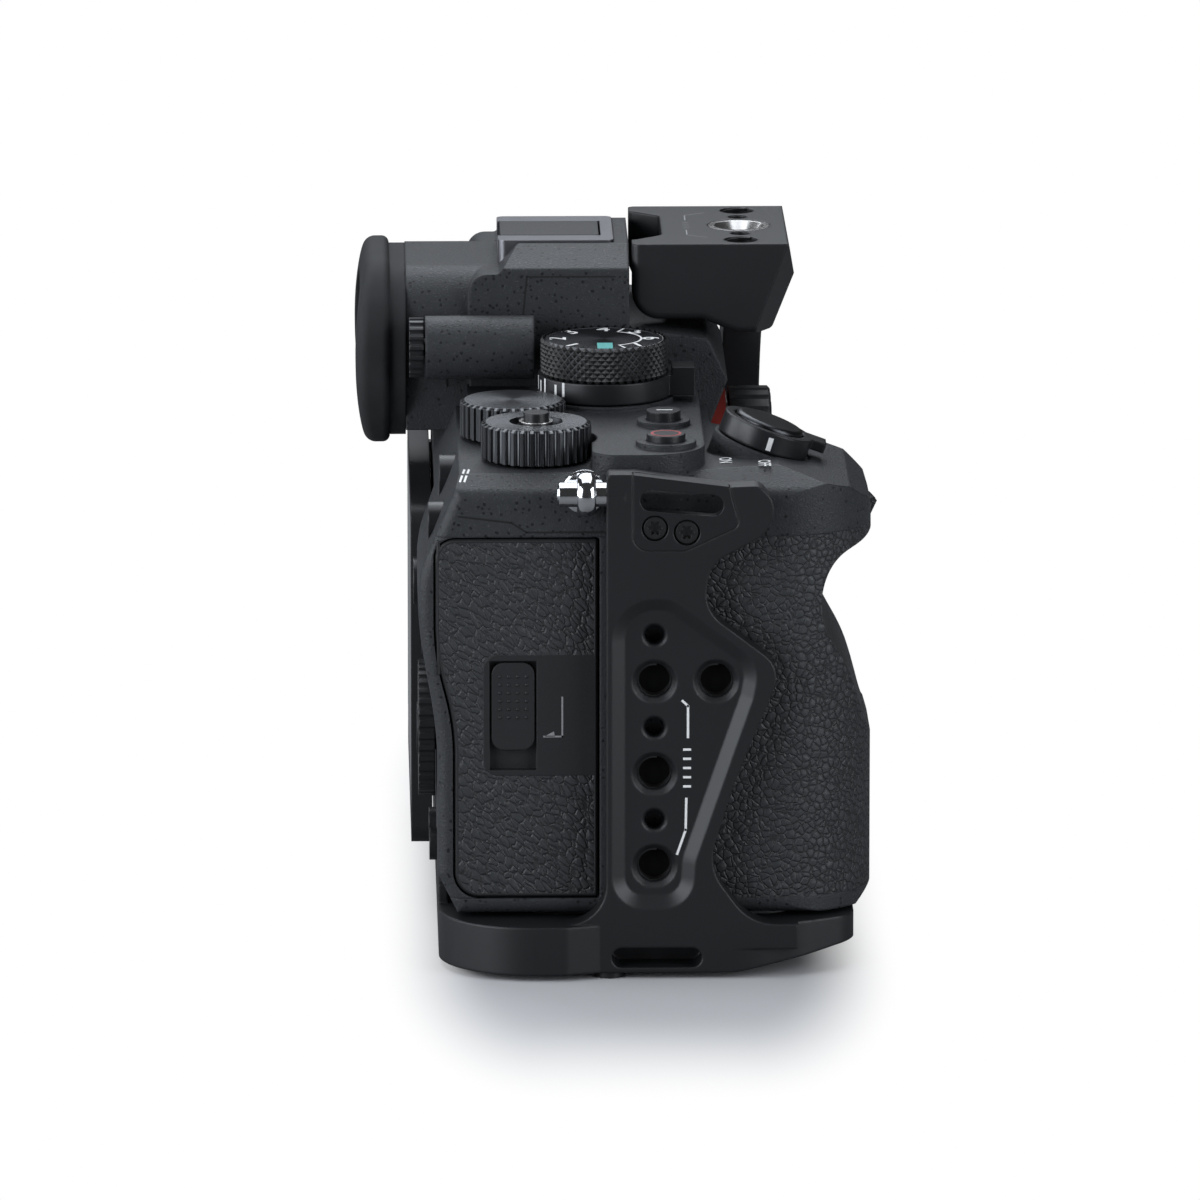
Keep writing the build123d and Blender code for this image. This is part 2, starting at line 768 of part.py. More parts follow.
# ---------------------------------------------------------------- camera: covers
strap_lug_half = 3.6
lug_slot = (-5.3, -2.1)
with BuildPart() as strap_lug_right:
    with BuildSketch(front_plane(lug_slot[0])):
        with Locations((lug_y, lug_z)):
            Circle(strap_lug_half)
        with Locations(((lug_y + door_y + 2.0) / 2, lug_z)):
            Rectangle(door_y + 2.0 - lug_y, 2 * strap_lug_half - 2.2)
        with Locations((lug_y, lug_z)):
            Circle(lug_pin_radius + slip, mode=Mode.SUBTRACT)
    extrude(amount=lug_slot[1] - lug_slot[0])
with BuildPart() as strap_lug_left:
    with BuildSketch(front_plane(lug_slot[0])):
        with Locations((left_side + 3.4, lug_z - 6.0)):
            Circle(strap_lug_half)
        with Locations((left_side + 1.2, lug_z - 6.0)):
            Rectangle(5.6, 2 * strap_lug_half - 2.2)
        with Locations((left_side + 3.4, lug_z - 6.0)):
            Circle(lug_pin_radius, mode=Mode.SUBTRACT)
    extrude(amount=lug_slot[1] - lug_slot[0])

# places of the controls on the top cover
plinth_z = deck_z + 0.8
dial_floor = terrace_z + gap
dial_top = deck_z + rear_dial_top
tilt = math.radians(shutter_tilt)
shutter_axis = (math.sin(tilt), 0, math.cos(tilt))
shutter_base = Plane(
    origin=(shutter_x - 1.1, shutter_y, ledge_z + 0.5),
    x_dir=(math.cos(tilt), 0, -math.sin(tilt)),
    z_dir=shutter_axis,
)
lean = math.radians(front_dial_tilt)
front_dial_thick = 4.6
front_dial_axis = (math.sin(lean), 0, math.cos(lean))
front_dial_plane = Plane(
    origin=(grip_front - 6.3, front_dial_y, seam_z + 1.9),
    x_dir=(math.cos(lean), 0, -math.sin(lean)),
    z_dir=front_dial_axis,
)

pivot_radius = 0.5
pivot_length = 0.6


def pivot(x, y, low, high, mode=Mode.ADD, radius=pivot_radius):
    """Hinge pin of a door that stands out at both ends, or with SUBTRACT its bores."""
    room = slip if mode == Mode.SUBTRACT else 0.0
    rod(upright_axis(x, y, low - pivot_length - room - gap), radius + room,
        high - low + 2 * (pivot_length + room + gap), mode)


# The card door follows the bulge of the back. It hangs on a thin pin just under its face,
# along the straight part of its rear edge.
door_rim = 0.6
leather_front = -2.45
leather_low, leather_high = grip_floor + door_rim + gap, seam_z - door_rim - gap
leather_ear, leather_rear = -27.1, -24.05
ear_low = 51.0
door_pin_radius = 0.3
door_hinge = (leather_ear - 0.1, door_y + door_pin_radius)
door_pin_low, door_pin_high = ear_low - 2.4, leather_high - 0.6


def door_loop(margin, mode=Mode.ADD):
    """Outline of the door's leather seen from the side, grown by a margin."""
    return outline(
        [
            (leather_front + margin, leather_high + margin, 0.5),
            (leather_ear - margin, leather_high + margin, 2.6 + margin),
            (leather_ear - margin, ear_low, 38.0),
            (leather_rear - margin, ear_low - 11.5, 38.0),
            (leather_rear - margin, leather_low - margin, 3.4 + margin),
            (leather_front + margin, leather_low - margin, 0.5),
        ],
        mode,
    )


wheel_y, wheel_z = -55.0, camera_z + 25.6
rear_buttons = {
    "af_on_button": (-53.0, deck_z - 8.0, 3.4),
    "ael_button": (-66.5, deck_z - 12.5, 3.0),
    "menu_button": (40.0, deck_z - 8.4, 2.6),
    "c3_button": (27.0, deck_z - 8.4, 2.6),
    "fn_button": (-62.5, camera_z + 42.0, 2.6),
    "play_button": (-47.0, camera_z + 8.0, 2.6),
    "delete_button": (-62.0, camera_z + 8.0, 2.6),
}
joystick_y, joystick_z = -46.5, camera_z + 48.0


def button_face(y, z):
    """X of the back where a button comes out at this place."""
    if z > rear_knee[1]:
        return max(rear_surface(z), -rear_face if y > -grip_inner else -far)
    return -rear_face - 1.2 if z > camera_z + 30 else -rear_face


def cut_rear_bores():
    """Bores of the rear buttons in the cover being built."""
    for y, z, radius in rear_buttons.values():
        rod(rear_axis(button_face(y, z) + 3.4, y, z), radius + slip, 12.0, Mode.SUBTRACT)


with BuildPart() as camera_top_cover:
    add(body_form.part)
    slab(-far, far, -far, far, 0, seam_z, Mode.SUBTRACT)
    # raised deck
    with BuildSketch(Plane.XY.offset(terrace_z - 1.0)):
        outline(
            [
                (-11.0, right_dial_y, 0),
                (-2.6, right_dial_y, 0),
                (-2.6, door_y + 1.5, 4.0),
                (front_face - 1.6, door_y + 1.5, 9.0),
                (front_face - 1.6, -hump_half + 2.0, 0),
                (-22.0, -hump_half + 2.0, 0),
                (-22.0, mode_y, 3.0),
                (-11.0, mode_y - 6.0, 3.0),
            ]
        )
        with Locations((right_dial_x, right_dial_y)):
            Circle(right_dial_radius + 0.9, mode=Mode.SUBTRACT)
        with Locations((left_dial_x, left_dial_y)):
            Circle(left_dial_radius + 0.9, mode=Mode.SUBTRACT)
    extrude(amount=deck_z - terrace_z + 1.0)
    # plinth of the mode dial
    rod(upright_axis(mode_x, mode_y, deck_z), selector_radius + 0.4, 0.8)
    rod(upright_axis(mode_x, mode_y, plinth_z - 4.0), 3.0 + slip, 4.0, Mode.SUBTRACT)
    # seats of the rear dials
    rod(upright_axis(left_dial_x, left_dial_y, terrace_z - 4.0), 2.0 + slip, 8.0, Mode.SUBTRACT)
    rod(upright_axis(right_dial_x, right_dial_y, terrace_z - 4.0), 2.6 + slip, 8.0, Mode.SUBTRACT)
    rod(upright_axis(right_dial_x, right_dial_y, terrace_z - 6.0), 1.0 + slip, 4.0, Mode.SUBTRACT)
    # collars and bores of the two deck buttons
    for y, collar, button in ((c1_y, 4.3, 2.75), (rec_y, 4.85, 3.1)):
        rod(upright_axis(deck_button_x, y, deck_z), collar, 0.9)
        rod(upright_axis(deck_button_x, y, deck_z - 3.0), button + slip, 6.0, Mode.SUBTRACT)
    # turret of the power ring with its hub and the button's bore
    rod(shutter_base.offset(-6.0), ring_radius + 0.5, 6.0)
    rod(shutter_base, ring_radius + 0.6, 20.0, Mode.SUBTRACT)
    rod(shutter_base, 4.6, 1.6)
    rod(shutter_base.offset(-3.0), 1.5 + slip, 8.0, Mode.SUBTRACT)
    # well of the front dial
    rod(front_dial_plane.offset(-front_dial_thick / 2 - gap), front_dial_radius + 0.4,
        front_dial_thick + 2 * gap, Mode.SUBTRACT)
    rod(front_dial_plane.offset(front_dial_thick / 2), 1.5 + slip, 2.4, Mode.SUBTRACT)
    add(camera_hump.part, mode=Mode.SUBTRACT)
    add(strap_lug_right.part, mode=Mode.SUBTRACT)
    add(strap_lug_left.part, mode=Mode.SUBTRACT)
    cut_rear_bores()

battery_thick = 1.8
battery_hinge = (-battery_hinge_side, camera_z + battery_thick / 2)
battery_rear, battery_front = battery_door_x
battery_length = battery_front - battery_rear
with BuildPart() as camera_bottom:
    add(body_form.part)
    slab(-far, far, -far, far, grip_floor, far, Mode.SUBTRACT)
    # battery door's recess, the way in behind it and the tripod socket
    slab(battery_rear - gap, battery_front + gap, -battery_door_side - gap, battery_hinge[0] + 1.3,
         camera_z - 1, camera_z + battery_thick + gap, Mode.SUBTRACT)
    slab(-8.0, 12.0, -70.0, -46.0, camera_z, grip_floor, Mode.SUBTRACT)
    rod(forward_axis(battery_rear - pivot_length - gap - slip, *battery_hinge),
        pivot_radius + slip, battery_length + 2 * (pivot_length + gap + slip), Mode.SUBTRACT)
    rod(upright_axis(screw_x, 0, camera_z), screw_radius + slip, 10.0, Mode.SUBTRACT)

grip_rear = 14.0
with BuildPart() as camera_grip:
    add(body_form.part)
    with BuildPart(mode=Mode.PRIVATE) as grip_room:
        slab(grip_rear, far, -far, -grip_inner + 5.5, grip_floor, seam_z)
    add(grip_room.part, mode=Mode.INTERSECT)
    rod(front_dial_plane.offset(-front_dial_thick / 2 - gap), front_dial_radius + 0.4,
        front_dial_thick + 2 * gap, Mode.SUBTRACT)


def cut_door_recess():
    """Recess for the card door and the bores of its pin in the cover being built."""
    pivot(*door_hinge, door_pin_low, door_pin_high, Mode.SUBTRACT, door_pin_radius)
    with BuildSketch(side_plane(door_y - 1)) as recess:
        door_loop(door_rim + gap)
    extrude(recess.sketch, amount=-(1 + door_thick + gap), mode=Mode.SUBTRACT)


with BuildPart() as camera_rear:
    add(body_form.part)
    with BuildPart(mode=Mode.PRIVATE) as rear_room:
        slab(-far, rear_seam, -far, far, grip_floor, seam_z)
    add(rear_room.part, mode=Mode.INTERSECT)
    cut_door_recess()
    # flat seat of the control wheel and its bore
    rod(rear_axis(-rear_face, wheel_y, wheel_z), wheel_radius + 0.4, 12.0, Mode.SUBTRACT)
    rod(rear_axis(-rear_face + 4.0, wheel_y, wheel_z), 3.6 + slip, 12.0, Mode.SUBTRACT)
    rod(rear_axis(-rear_face + 6.0, wheel_y, wheel_z), 1.2 + slip, 12.0, Mode.SUBTRACT)
    rod(rear_axis(-rear_face - 0.6, joystick_y, joystick_z), 5.0, 12.0, Mode.SUBTRACT)
    rod(rear_axis(-rear_face + 3.4, joystick_y, joystick_z), 2.0, 12.0, Mode.SUBTRACT)
    cut_rear_bores()
    add(camera_hump.part, mode=Mode.SUBTRACT)

port_top = seam_z - port_margin
port_rows = {
    "port_cover_upper": (port_top - upper_port, port_top),
    "port_cover_lower": (camera_z + 9.0, port_top - upper_port - port_bridge),
}
with BuildPart() as camera_front:
    add(body_form.part)
    with BuildPart(mode=Mode.PRIVATE) as front_room:
        slab(rear_seam, far, -far, far, grip_floor, seam_z)
    add(front_room.part, mode=Mode.INTERSECT)
    slab(grip_rear, far, -far, -grip_inner + 5.5, 0, far, Mode.SUBTRACT)
    cut_door_recess()
    # card slot, battery compartment, tripod socket and lens throat
    slab(-16.5, -5.0, door_y, -62.0, camera_z + 14.0, seam_z - 9.5, Mode.SUBTRACT)
    slab(-8.0, 12.0, -70.0, -46.0, 0, seam_z - 21.5, Mode.SUBTRACT)
    rod(upright_axis(screw_x, 0, camera_z), screw_radius + slip, 7.0, Mode.SUBTRACT)
    rod(forward_axis(front_face - 12.0, 0, lens_z),
        throat_radius, 20.0, Mode.SUBTRACT)
    for low, high in port_rows.values():
        with BuildSketch(Plane.XY.offset(low - gap)):
            with Locations((port_hinge_x, left_side - port_thick / 2)):
                Circle(port_thick / 2 + gap)
            deep = port_thick + 2 * gap
            with Locations(((port_hinge_x + port_front + gap) / 2, left_side - deep / 2)):
                Rectangle(port_front + gap - port_hinge_x, deep)
            # room for the outer half as the cover turns about its pins
            port_rear = port_hinge_x - port_thick / 2 - gap
            with Locations(((port_rear + port_hinge_x) / 2, left_side)):
                Rectangle(port_hinge_x - port_rear, port_thick)
        extrude(amount=high - low + 2 * gap, mode=Mode.SUBTRACT)
        pivot(port_hinge_x, left_side - port_thick / 2, low, high, Mode.SUBTRACT)
    add(strap_lug_left.part, mode=Mode.SUBTRACT)
    release_y, release_z = 36.6, lens_z - 8.0
    rod(forward_axis(front_face - 4.0, release_y, release_z),
        4.2 + slip, 8.0, Mode.SUBTRACT)

# ---------------------------------------------------------------- camera: lens mount
def lens_plane(x):
    """Plane on the lens axis that faces forward at this X."""
    return Plane(origin=(x, 0, lens_z), x_dir=(0, 1, 0), z_dir=(1, 0, 0))


with BuildPart() as mount_ring:
    rod(lens_plane(front_face), mount_radius, ring_depth, bore=flange_radius)
with BuildPart() as lens_flange:
    rod(lens_plane(front_face), flange_radius, ring_depth + 0.5, bore=throat_radius)
cap_rear = front_face + ring_depth + 0.5 + gap
with BuildPart() as body_cap:
    with BuildSketch(lens_plane(cap_rear)):
        Circle(cap_radius)
        knurl(cap_radius, 40, 0.6, 2.4)
    extrude(amount=cap_depth)
    chamfer(body_cap.faces().sort_by(Axis.X)[-1].edges().filter_by(GeomType.CIRCLE, reverse=False), 0.4)
    rod(lens_plane(cap_rear - 2.4), throat_radius - 0.7, 2.4)
    rod(lens_plane(cap_rear + cap_depth - 0.8), cap_radius - 5.0, 2.0, Mode.SUBTRACT)
with BuildPart() as lens_release_button:
    rod(forward_axis(front_face - 1.6, release_y, release_z), 4.2, 4.6)
    fillet(lens_release_button.faces().sort_by(Axis.X)[-1].edges(), 0.8)

# ---------------------------------------------------------------- camera: hot shoe
shoe_rear = shoe_front - shoe_length
with BuildPart() as hot_shoe:
    slab(shoe_rear, shoe_front, -shoe_half, shoe_half, hump_z, hump_z + shoe_height)
    fillet(hot_shoe.edges().filter_by(Axis.Z), 1.2)
    slab(shoe_rear - 1, shoe_front - 2.0, -9.3, 9.3, hump_z + 1.2, hump_z + 3.3, Mode.SUBTRACT)
    slab(shoe_rear - 1, shoe_front - 2.0, -6.4, 6.4, hump_z + 1.2, far, Mode.SUBTRACT)
with BuildPart() as shoe_cover:
    slab(shoe_rear + 0.4, shoe_front - 2.3, -9.0, 9.0, hump_z + 1.5, hump_z + 3.0)
    slab(shoe_rear + 0.4, shoe_front - 2.3, -6.1, 6.1, hump_z + 1.5, hump_z + shoe_height)

# ---------------------------------------------------------------- camera: eyepiece
eye_z = deck_z + 4.2
eye_plane = rear_axis(-hump_rear, 0, eye_z)
with BuildPart() as eyecup:
    with BuildSketch(eye_plane.offset(eyecup_collar)):
        RectangleRounded(eyecup_width, eyecup_height, 13.0)
    extrude(amount=eyecup_depth - eyecup_collar)
    rod(Plane(origin=(-hump_rear - eyecup_depth + eyecup_bulge, -far / 2, eye_z), x_dir=(1, 0, 0), z_dir=(0, 1, 0)),
        eyecup_bulge, far, Mode.INTERSECT)
    fillet(eyecup.faces().sort_by(Axis.X)[0].edges(), 2.0)
    fillet(eyecup.faces().sort_by(Axis.X)[-1].edges(), 1.2)
    with BuildSketch(eye_plane):
        RectangleRounded(eyecup_width - 3.0, eyecup_height - 2.2, 12.0)
    extrude(amount=eyecup_depth - 3.0)
    with BuildSketch(eye_plane):
        RectangleRounded(28.0, 20.0, 6.0)
    extrude(amount=eyecup_depth, mode=Mode.SUBTRACT)
with BuildPart() as eyepiece_glass:
    with BuildSketch(eye_plane):
        RectangleRounded(27.4, 19.4, 5.8)
    extrude(amount=2.0)

# ---------------------------------------------------------------- camera: top controls
tab_inner, tab_outer = 10.9, 14.6
with BuildPart() as mode_selector:
    rod(upright_axis(mode_x, mode_y, plinth_z + gap), selector_radius, selector_thick, bore=3.0 + gap)
    slab(mode_x + 9.0, mode_x + tab_outer, mode_y - 2.6, mode_y + 2.6, plinth_z + gap,
         plinth_z + gap + selector_thick)
    slab(mode_x + tab_inner, mode_x + tab_outer, mode_y - 2.6, mode_y + 2.6, plinth_z + gap,
         plinth_z + gap + selector_thick + 1.3)
mode_floor = plinth_z + selector_thick + 2 * gap
with BuildPart() as mode_dial:
    rod(upright_axis(mode_x, mode_y, mode_floor), mode_radius, mode_thick)
    chamfer(mode_dial.faces().sort_by(Axis.Z)[-1].edges(), 0.5)
    rod(upright_axis(mode_x, mode_y, plinth_z - 3.6), 3.0, mode_floor - plinth_z + 3.6)
with BuildPart() as rear_dial_left:
    with BuildSketch(upright_axis(left_dial_x, left_dial_y, dial_floor)):
        Circle(left_dial_radius)
        knurl(left_dial_radius, 30, 0.5, 1.1)
    extrude(amount=dial_top - dial_floor)
    rod(upright_axis(left_dial_x, left_dial_y, terrace_z - 3.6), 2.0, 4.6)
with BuildPart() as rear_dial_right:
    with BuildSketch(upright_axis(right_dial_x, right_dial_y, dial_floor)):
        Circle(right_dial_radius)
        knurl(right_dial_radius, 30, 0.5, 1.2)
    extrude(amount=dial_top - dial_floor)
    rod(upright_axis(right_dial_x, right_dial_y, terrace_z - 3.6), 2.6, 4.6)
    rod(upright_axis(right_dial_x, right_dial_y, dial_top - 2.2), 4.0, 4.0, Mode.SUBTRACT)
    rod(upright_axis(right_dial_x, right_dial_y, terrace_z - 5.0), 1.0 + gap, 20.0, Mode.SUBTRACT)
with BuildPart() as dial_lock_button:
    rod(upright_axis(right_dial_x, right_dial_y, dial_top - 1.1), 2.05, 2.6)
    rod(upright_axis(right_dial_x, right_dial_y, terrace_z - 5.0), 1.0, dial_top - terrace_z + 4.0)
with BuildPart() as c1_button:
    rod(upright_axis(deck_button_x, c1_y, deck_z - 2.0), 2.75, 4.4)
with BuildPart() as rec_button:
    rod(upright_axis(deck_button_x, rec_y, deck_z - 2.0), 3.1, 4.0)
with BuildPart() as power_ring:
    rod(shutter_base.offset(gap), ring_radius, ring_thick, bore=4.6 + slip)
    rod(shutter_base.offset(gap + 1.4), 5.9, 8.0, Mode.SUBTRACT)
    with BuildSketch(shutter_base.offset(gap + ring_thick - 1.6)):
        with Locations((ring_radius + 0.6, 1.6)):
            Rectangle(3.4, 4.4)
    extrude(amount=1.6)
with BuildPart() as shutter_button:
    rod(shutter_base.offset(gap + 2.4), 5.6, 1.6)
    fillet(shutter_button.faces().sort_by(Axis.Z)[-1].edges(), 0.7)
    rod(shutter_base.offset(-1.6), 1.5, 4.6)
with BuildPart() as front_dial:
    with BuildSketch(front_dial_plane.offset(-front_dial_thick / 2)):
        Circle(front_dial_radius)
        knurl(front_dial_radius, 24, 0.6, 1.3)
    extrude(amount=front_dial_thick)
    rod(front_dial_plane, 1.5, front_dial_thick / 2 + 2.2)
with BuildPart() as diopter_wheel:
    diopter_plane = rear_axis(barrel_rear - gap, barrel_y, barrel_z)
    with BuildSketch(diopter_plane):
        Circle(4.9)
        knurl(4.9, 18, 0.45, 1.1)
    extrude(amount=2.3)
    rod(rear_axis(barrel_rear + 4.6, barrel_y, barrel_z), 1.5, 6.0)

# ---------------------------------------------------------------- camera: back
monitor_front = -rear_face - 0.5
monitor_rear = monitor_front - monitor_thick
hinge_x = (monitor_front + monitor_rear) / 2
hinge_y = left_side - monitor_hinge_inset
knuckle = monitor_thick / 2
monitor_low, monitor_high = camera_z + 1.1, seam_z - 4.0
monitor_middle = (monitor_low + monitor_high) / 2
knuckle_low, knuckle_high = monitor_middle - knuckle_reach, monitor_middle + knuckle_reach
screen_y = (-monitor_side + screen_border, hinge_y - 6.0)
screen_z = (monitor_low + screen_border + 1.0, monitor_high - screen_border)
with BuildPart() as monitor:
    slab(monitor_rear, monitor_front, -monitor_side, hinge_y - 2.5, monitor_low, monitor_high)
    fillet(monitor.edges().filter_by(Axis.X), 3.0)
    with Locations((hinge_x, hinge_y, knuckle_low)):
        Cylinder(knuckle, knuckle_high - knuckle_low, align=(Align.CENTER, Align.CENTER, Align.MIN))
    slab(hinge_x - 1.0, hinge_x + 1.0, hinge_y - 3.0, hinge_y, knuckle_low, knuckle_high)
    rod(upright_axis(hinge_x, hinge_y, knuckle_low), 0.8 + slip, far, Mode.SUBTRACT)
    slab(monitor_rear, monitor_rear + 0.5, *screen_y, *screen_z, Mode.SUBTRACT)
with BuildPart() as monitor_screen:
    slab(monitor_rear, monitor_rear + 0.5, *screen_y, *screen_z)
with BuildPart() as monitor_hinge:
    for low, high in ((knuckle_low - 9.0, knuckle_low - gap), (knuckle_high + gap, knuckle_high + 9.0)):
        with Locations((hinge_x, hinge_y, low)):
            Cylinder(knuckle, high - low, align=(Align.CENTER, Align.CENTER, Align.MIN))
        slab(hinge_x, -rear_face, hinge_y - 1.2, hinge_y + 1.2, low, high)
    rod(upright_axis(hinge_x, hinge_y, knuckle_low - 1.0), 0.8, knuckle_high - knuckle_low + 2.0)
with BuildPart() as control_wheel:
    with BuildSketch(rear_axis(-rear_face - gap, wheel_y, wheel_z)):
        Circle(wheel_radius)
        knurl(wheel_radius, 36, 0.4, 1.1)
        Circle(4.6, mode=Mode.SUBTRACT)
    extrude(amount=2.6)
    rod(rear_axis(-rear_face + 3.6, wheel_y, wheel_z), 3.6, 3.9 + 0.9)
    rod(rear_axis(-rear_face - gap, wheel_y, wheel_z), 4.7, 0.6)
    rod(rear_axis(-rear_face + 5.0, wheel_y, wheel_z), 1.2 + gap, 20.0, Mode.SUBTRACT)
with BuildPart() as centre_button:
    rod(rear_axis(-rear_face - 1.8, wheel_y, wheel_z), 4.2, 1.3)
    rod(rear_axis(-rear_face + 5.2, wheel_y, wheel_z), 1.2, 7.2)
with BuildPart() as joystick:
    rod(rear_axis(-rear_face + 2.8, joystick_y, joystick_z), 1.2, 4.4)
    rod(rear_axis(-rear_face - 1.4, joystick_y, joystick_z), 3.8, 2.2)
    # cross pin that it tilts on
    rod(Plane(origin=(-rear_face + 2.0, joystick_y + 1.7, joystick_z), x_dir=(1, 0, 0), z_dir=(0, -1, 0)),
        0.8, 3.4)
rear_button_parts = {}
for name, (y, z, radius) in rear_buttons.items():
    with BuildPart() as rear_button:
        rod(rear_axis(button_face(y, z) + 2.4, y, z), radius, 3.6)
    rear_button_parts[name] = rear_button

# ---------------------------------------------------------------- camera: doors
panel = (-20.1, leather_front + door_rim, camera_z + 22.7, camera_z + 42.4)
latch_slot = (-19.1, -11.6, camera_z + 23.6, camera_z + 41.4)
latch_travel = 3.0


def door_panel():
    """Outline of the bare panel round the latch, seen from the side."""
    rear, front, low, high = panel
    return outline([(rear, high, 2.4), (front, high, 0), (front, low, 0), (rear, low, 2.4)])


with BuildPart() as door_leather:
    with BuildSketch(side_plane(door_y)):
        door_loop(0)
    extrude(amount=-skin)
    with BuildSketch(side_plane(door_y)) as panel_face:
        door_panel()
    extrude(panel_face.sketch, amount=-skin, mode=Mode.SUBTRACT)
with BuildPart() as card_door:
    with BuildSketch(side_plane(door_y)):
        door_loop(door_rim)
    extrude(amount=-door_thick)
    chamfer(card_door.faces().sort_by(Axis.Y)[0].edges(), door_chamfer)
    pivot(*door_hinge, door_pin_low, door_pin_high, radius=door_pin_radius)
    add(door_leather.part, mode=Mode.SUBTRACT)
    slab(latch_slot[0], latch_slot[1], door_y - 1, door_y + 1.5, latch_slot[2], latch_slot[3],
         Mode.SUBTRACT)
    slab(latch_slot[0] + 2.0, latch_slot[1] - 2.0, door_y, -grip_side + 9, latch_slot[2] + 3.0,
         latch_slot[3] - 3.0, Mode.SUBTRACT)
with BuildPart() as door_latch:
    slab(latch_slot[0] + 0.35, latch_slot[1] - 0.35, door_y + 0.15, door_y + 1.5 - gap,
         latch_slot[2] + latch_travel + gap, latch_slot[3] - gap)
    fillet(door_latch.edges().filter_by(Axis.Y), 2.0)
    slab(latch_slot[0] + 2.3, latch_slot[1] - 2.3, door_y + 1.0, door_y + door_thick,
         latch_slot[2] + 3.0 + latch_travel + gap, latch_slot[3] - 3.0 - gap)
port_parts = {}
for name, (low, high) in port_rows.items():
    with BuildPart() as port_cover:
        with BuildSketch(Plane.XY.offset(low)):
            with Locations((port_hinge_x, left_side - port_thick / 2)):
                Circle(port_thick / 2)
            with Locations(((port_hinge_x + port_front) / 2, left_side - port_thick / 2)):
                Rectangle(port_front - port_hinge_x, port_thick)
        extrude(amount=high - low)
        pivot(port_hinge_x, left_side - port_thick / 2, low, high)
    port_parts[name] = port_cover
with BuildPart() as battery_door:
    slab(battery_rear, battery_front, -battery_door_side, battery_hinge[0],
         camera_z, camera_z + battery_thick)
    with BuildSketch(front_plane(battery_rear)):
        with Locations(battery_hinge):
            Circle(battery_thick / 2)
    extrude(amount=battery_length)
    rod(forward_axis(battery_rear - pivot_length - gap, *battery_hinge), pivot_radius,
        battery_length + 2 * (pivot_length + gap))

# ---------------------------------------------------------------- write the pieces
pieces = {
    "cage_frame": cage_frame,
    "strap_insert": strap_insert,
    "strap_screws": strap_screws,
    "base_stud": base_stud,
    "base_screws": base_screws,
    "lug_pin": lug_pin,
    "base_pad": base_pad,
    "camera_screw": camera_screw,
    "left_upright": left_upright,
    "top_block": top_block,
    "top_thread_insert": top_thread_insert,
    "block_screws": block_screws,
    "camera_front_cover": camera_front,
    "camera_rear_cover": camera_rear,
    "camera_top_cover": camera_top_cover,
    "camera_bottom_plate": camera_bottom,
    "camera_grip": camera_grip,
    "camera_hump": camera_hump,
    "strap_lug_right": strap_lug_right,
    "strap_lug_left": strap_lug_left,
    "mount_ring": mount_ring,
    "lens_flange": lens_flange,
    "hot_shoe": hot_shoe,
    "eyecup": eyecup,
    "eyepiece_glass": eyepiece_glass,
    "monitor_hinge": monitor_hinge,
    "body_cap": body_cap,
    "lens_release_button": lens_release_button,
    "shoe_cover": shoe_cover,
    "mode_selector": mode_selector,
    "mode_dial": mode_dial,
    "rear_dial_left": rear_dial_left,
    "rear_dial_right": rear_dial_right,
    "dial_lock_button": dial_lock_button,
    "c1_button": c1_button,
    "rec_button": rec_button,
    "power_ring": power_ring,
    "shutter_button": shutter_button,
    "front_dial": front_dial,
    "diopter_wheel": diopter_wheel,
    "monitor": monitor,
    "monitor_screen": monitor_screen,
    "control_wheel": control_wheel,
    "centre_button": centre_button,
    "joystick": joystick,
    "card_door": card_door,
    "door_leather": door_leather,
    "door_latch": door_latch,
    "battery_door": battery_door,
    **rear_button_parts,
    **port_parts,
}
for name, piece in pieces.items():
    piece.part.label = name
    export_step(piece.part, f"parts/{name}.step")
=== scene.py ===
"""Looks of a camera cage with a camera fitted in it.

After the node writers, each class is one finish or one sub-assembly. Its fields are sizes in
millimetres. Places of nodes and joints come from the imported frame: +X forward, -Y the grip
side, +Z up.
"""

import json
import logging
import math
from dataclasses import dataclass, field
from typing import Callable, Sequence

import bmesh
import bpy
from mathutils import Matrix, Vector
from mathutils.bvhtree import BVHTree


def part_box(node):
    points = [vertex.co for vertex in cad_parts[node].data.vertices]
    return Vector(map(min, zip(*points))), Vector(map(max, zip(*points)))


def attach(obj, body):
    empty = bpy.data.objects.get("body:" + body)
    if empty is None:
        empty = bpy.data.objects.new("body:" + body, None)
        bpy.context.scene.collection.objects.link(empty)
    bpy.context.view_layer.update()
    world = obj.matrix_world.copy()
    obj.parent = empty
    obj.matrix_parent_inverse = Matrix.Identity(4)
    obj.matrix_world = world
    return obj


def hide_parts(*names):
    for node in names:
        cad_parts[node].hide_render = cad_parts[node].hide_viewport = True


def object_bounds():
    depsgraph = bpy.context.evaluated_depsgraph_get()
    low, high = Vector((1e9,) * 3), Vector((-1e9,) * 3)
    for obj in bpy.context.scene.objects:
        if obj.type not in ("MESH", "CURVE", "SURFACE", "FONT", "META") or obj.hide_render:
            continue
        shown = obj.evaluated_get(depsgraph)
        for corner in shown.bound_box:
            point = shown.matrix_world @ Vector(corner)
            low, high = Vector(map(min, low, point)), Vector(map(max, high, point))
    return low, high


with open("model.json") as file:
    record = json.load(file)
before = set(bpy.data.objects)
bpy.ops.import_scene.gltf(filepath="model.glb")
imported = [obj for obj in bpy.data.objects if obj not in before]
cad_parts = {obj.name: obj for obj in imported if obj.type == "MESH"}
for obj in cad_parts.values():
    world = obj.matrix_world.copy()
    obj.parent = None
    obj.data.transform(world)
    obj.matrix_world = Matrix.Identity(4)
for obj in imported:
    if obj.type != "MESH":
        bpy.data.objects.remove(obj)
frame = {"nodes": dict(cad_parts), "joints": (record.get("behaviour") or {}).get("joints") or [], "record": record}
CAD_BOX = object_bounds()
MM = 0.001
TURN = 2 * math.pi
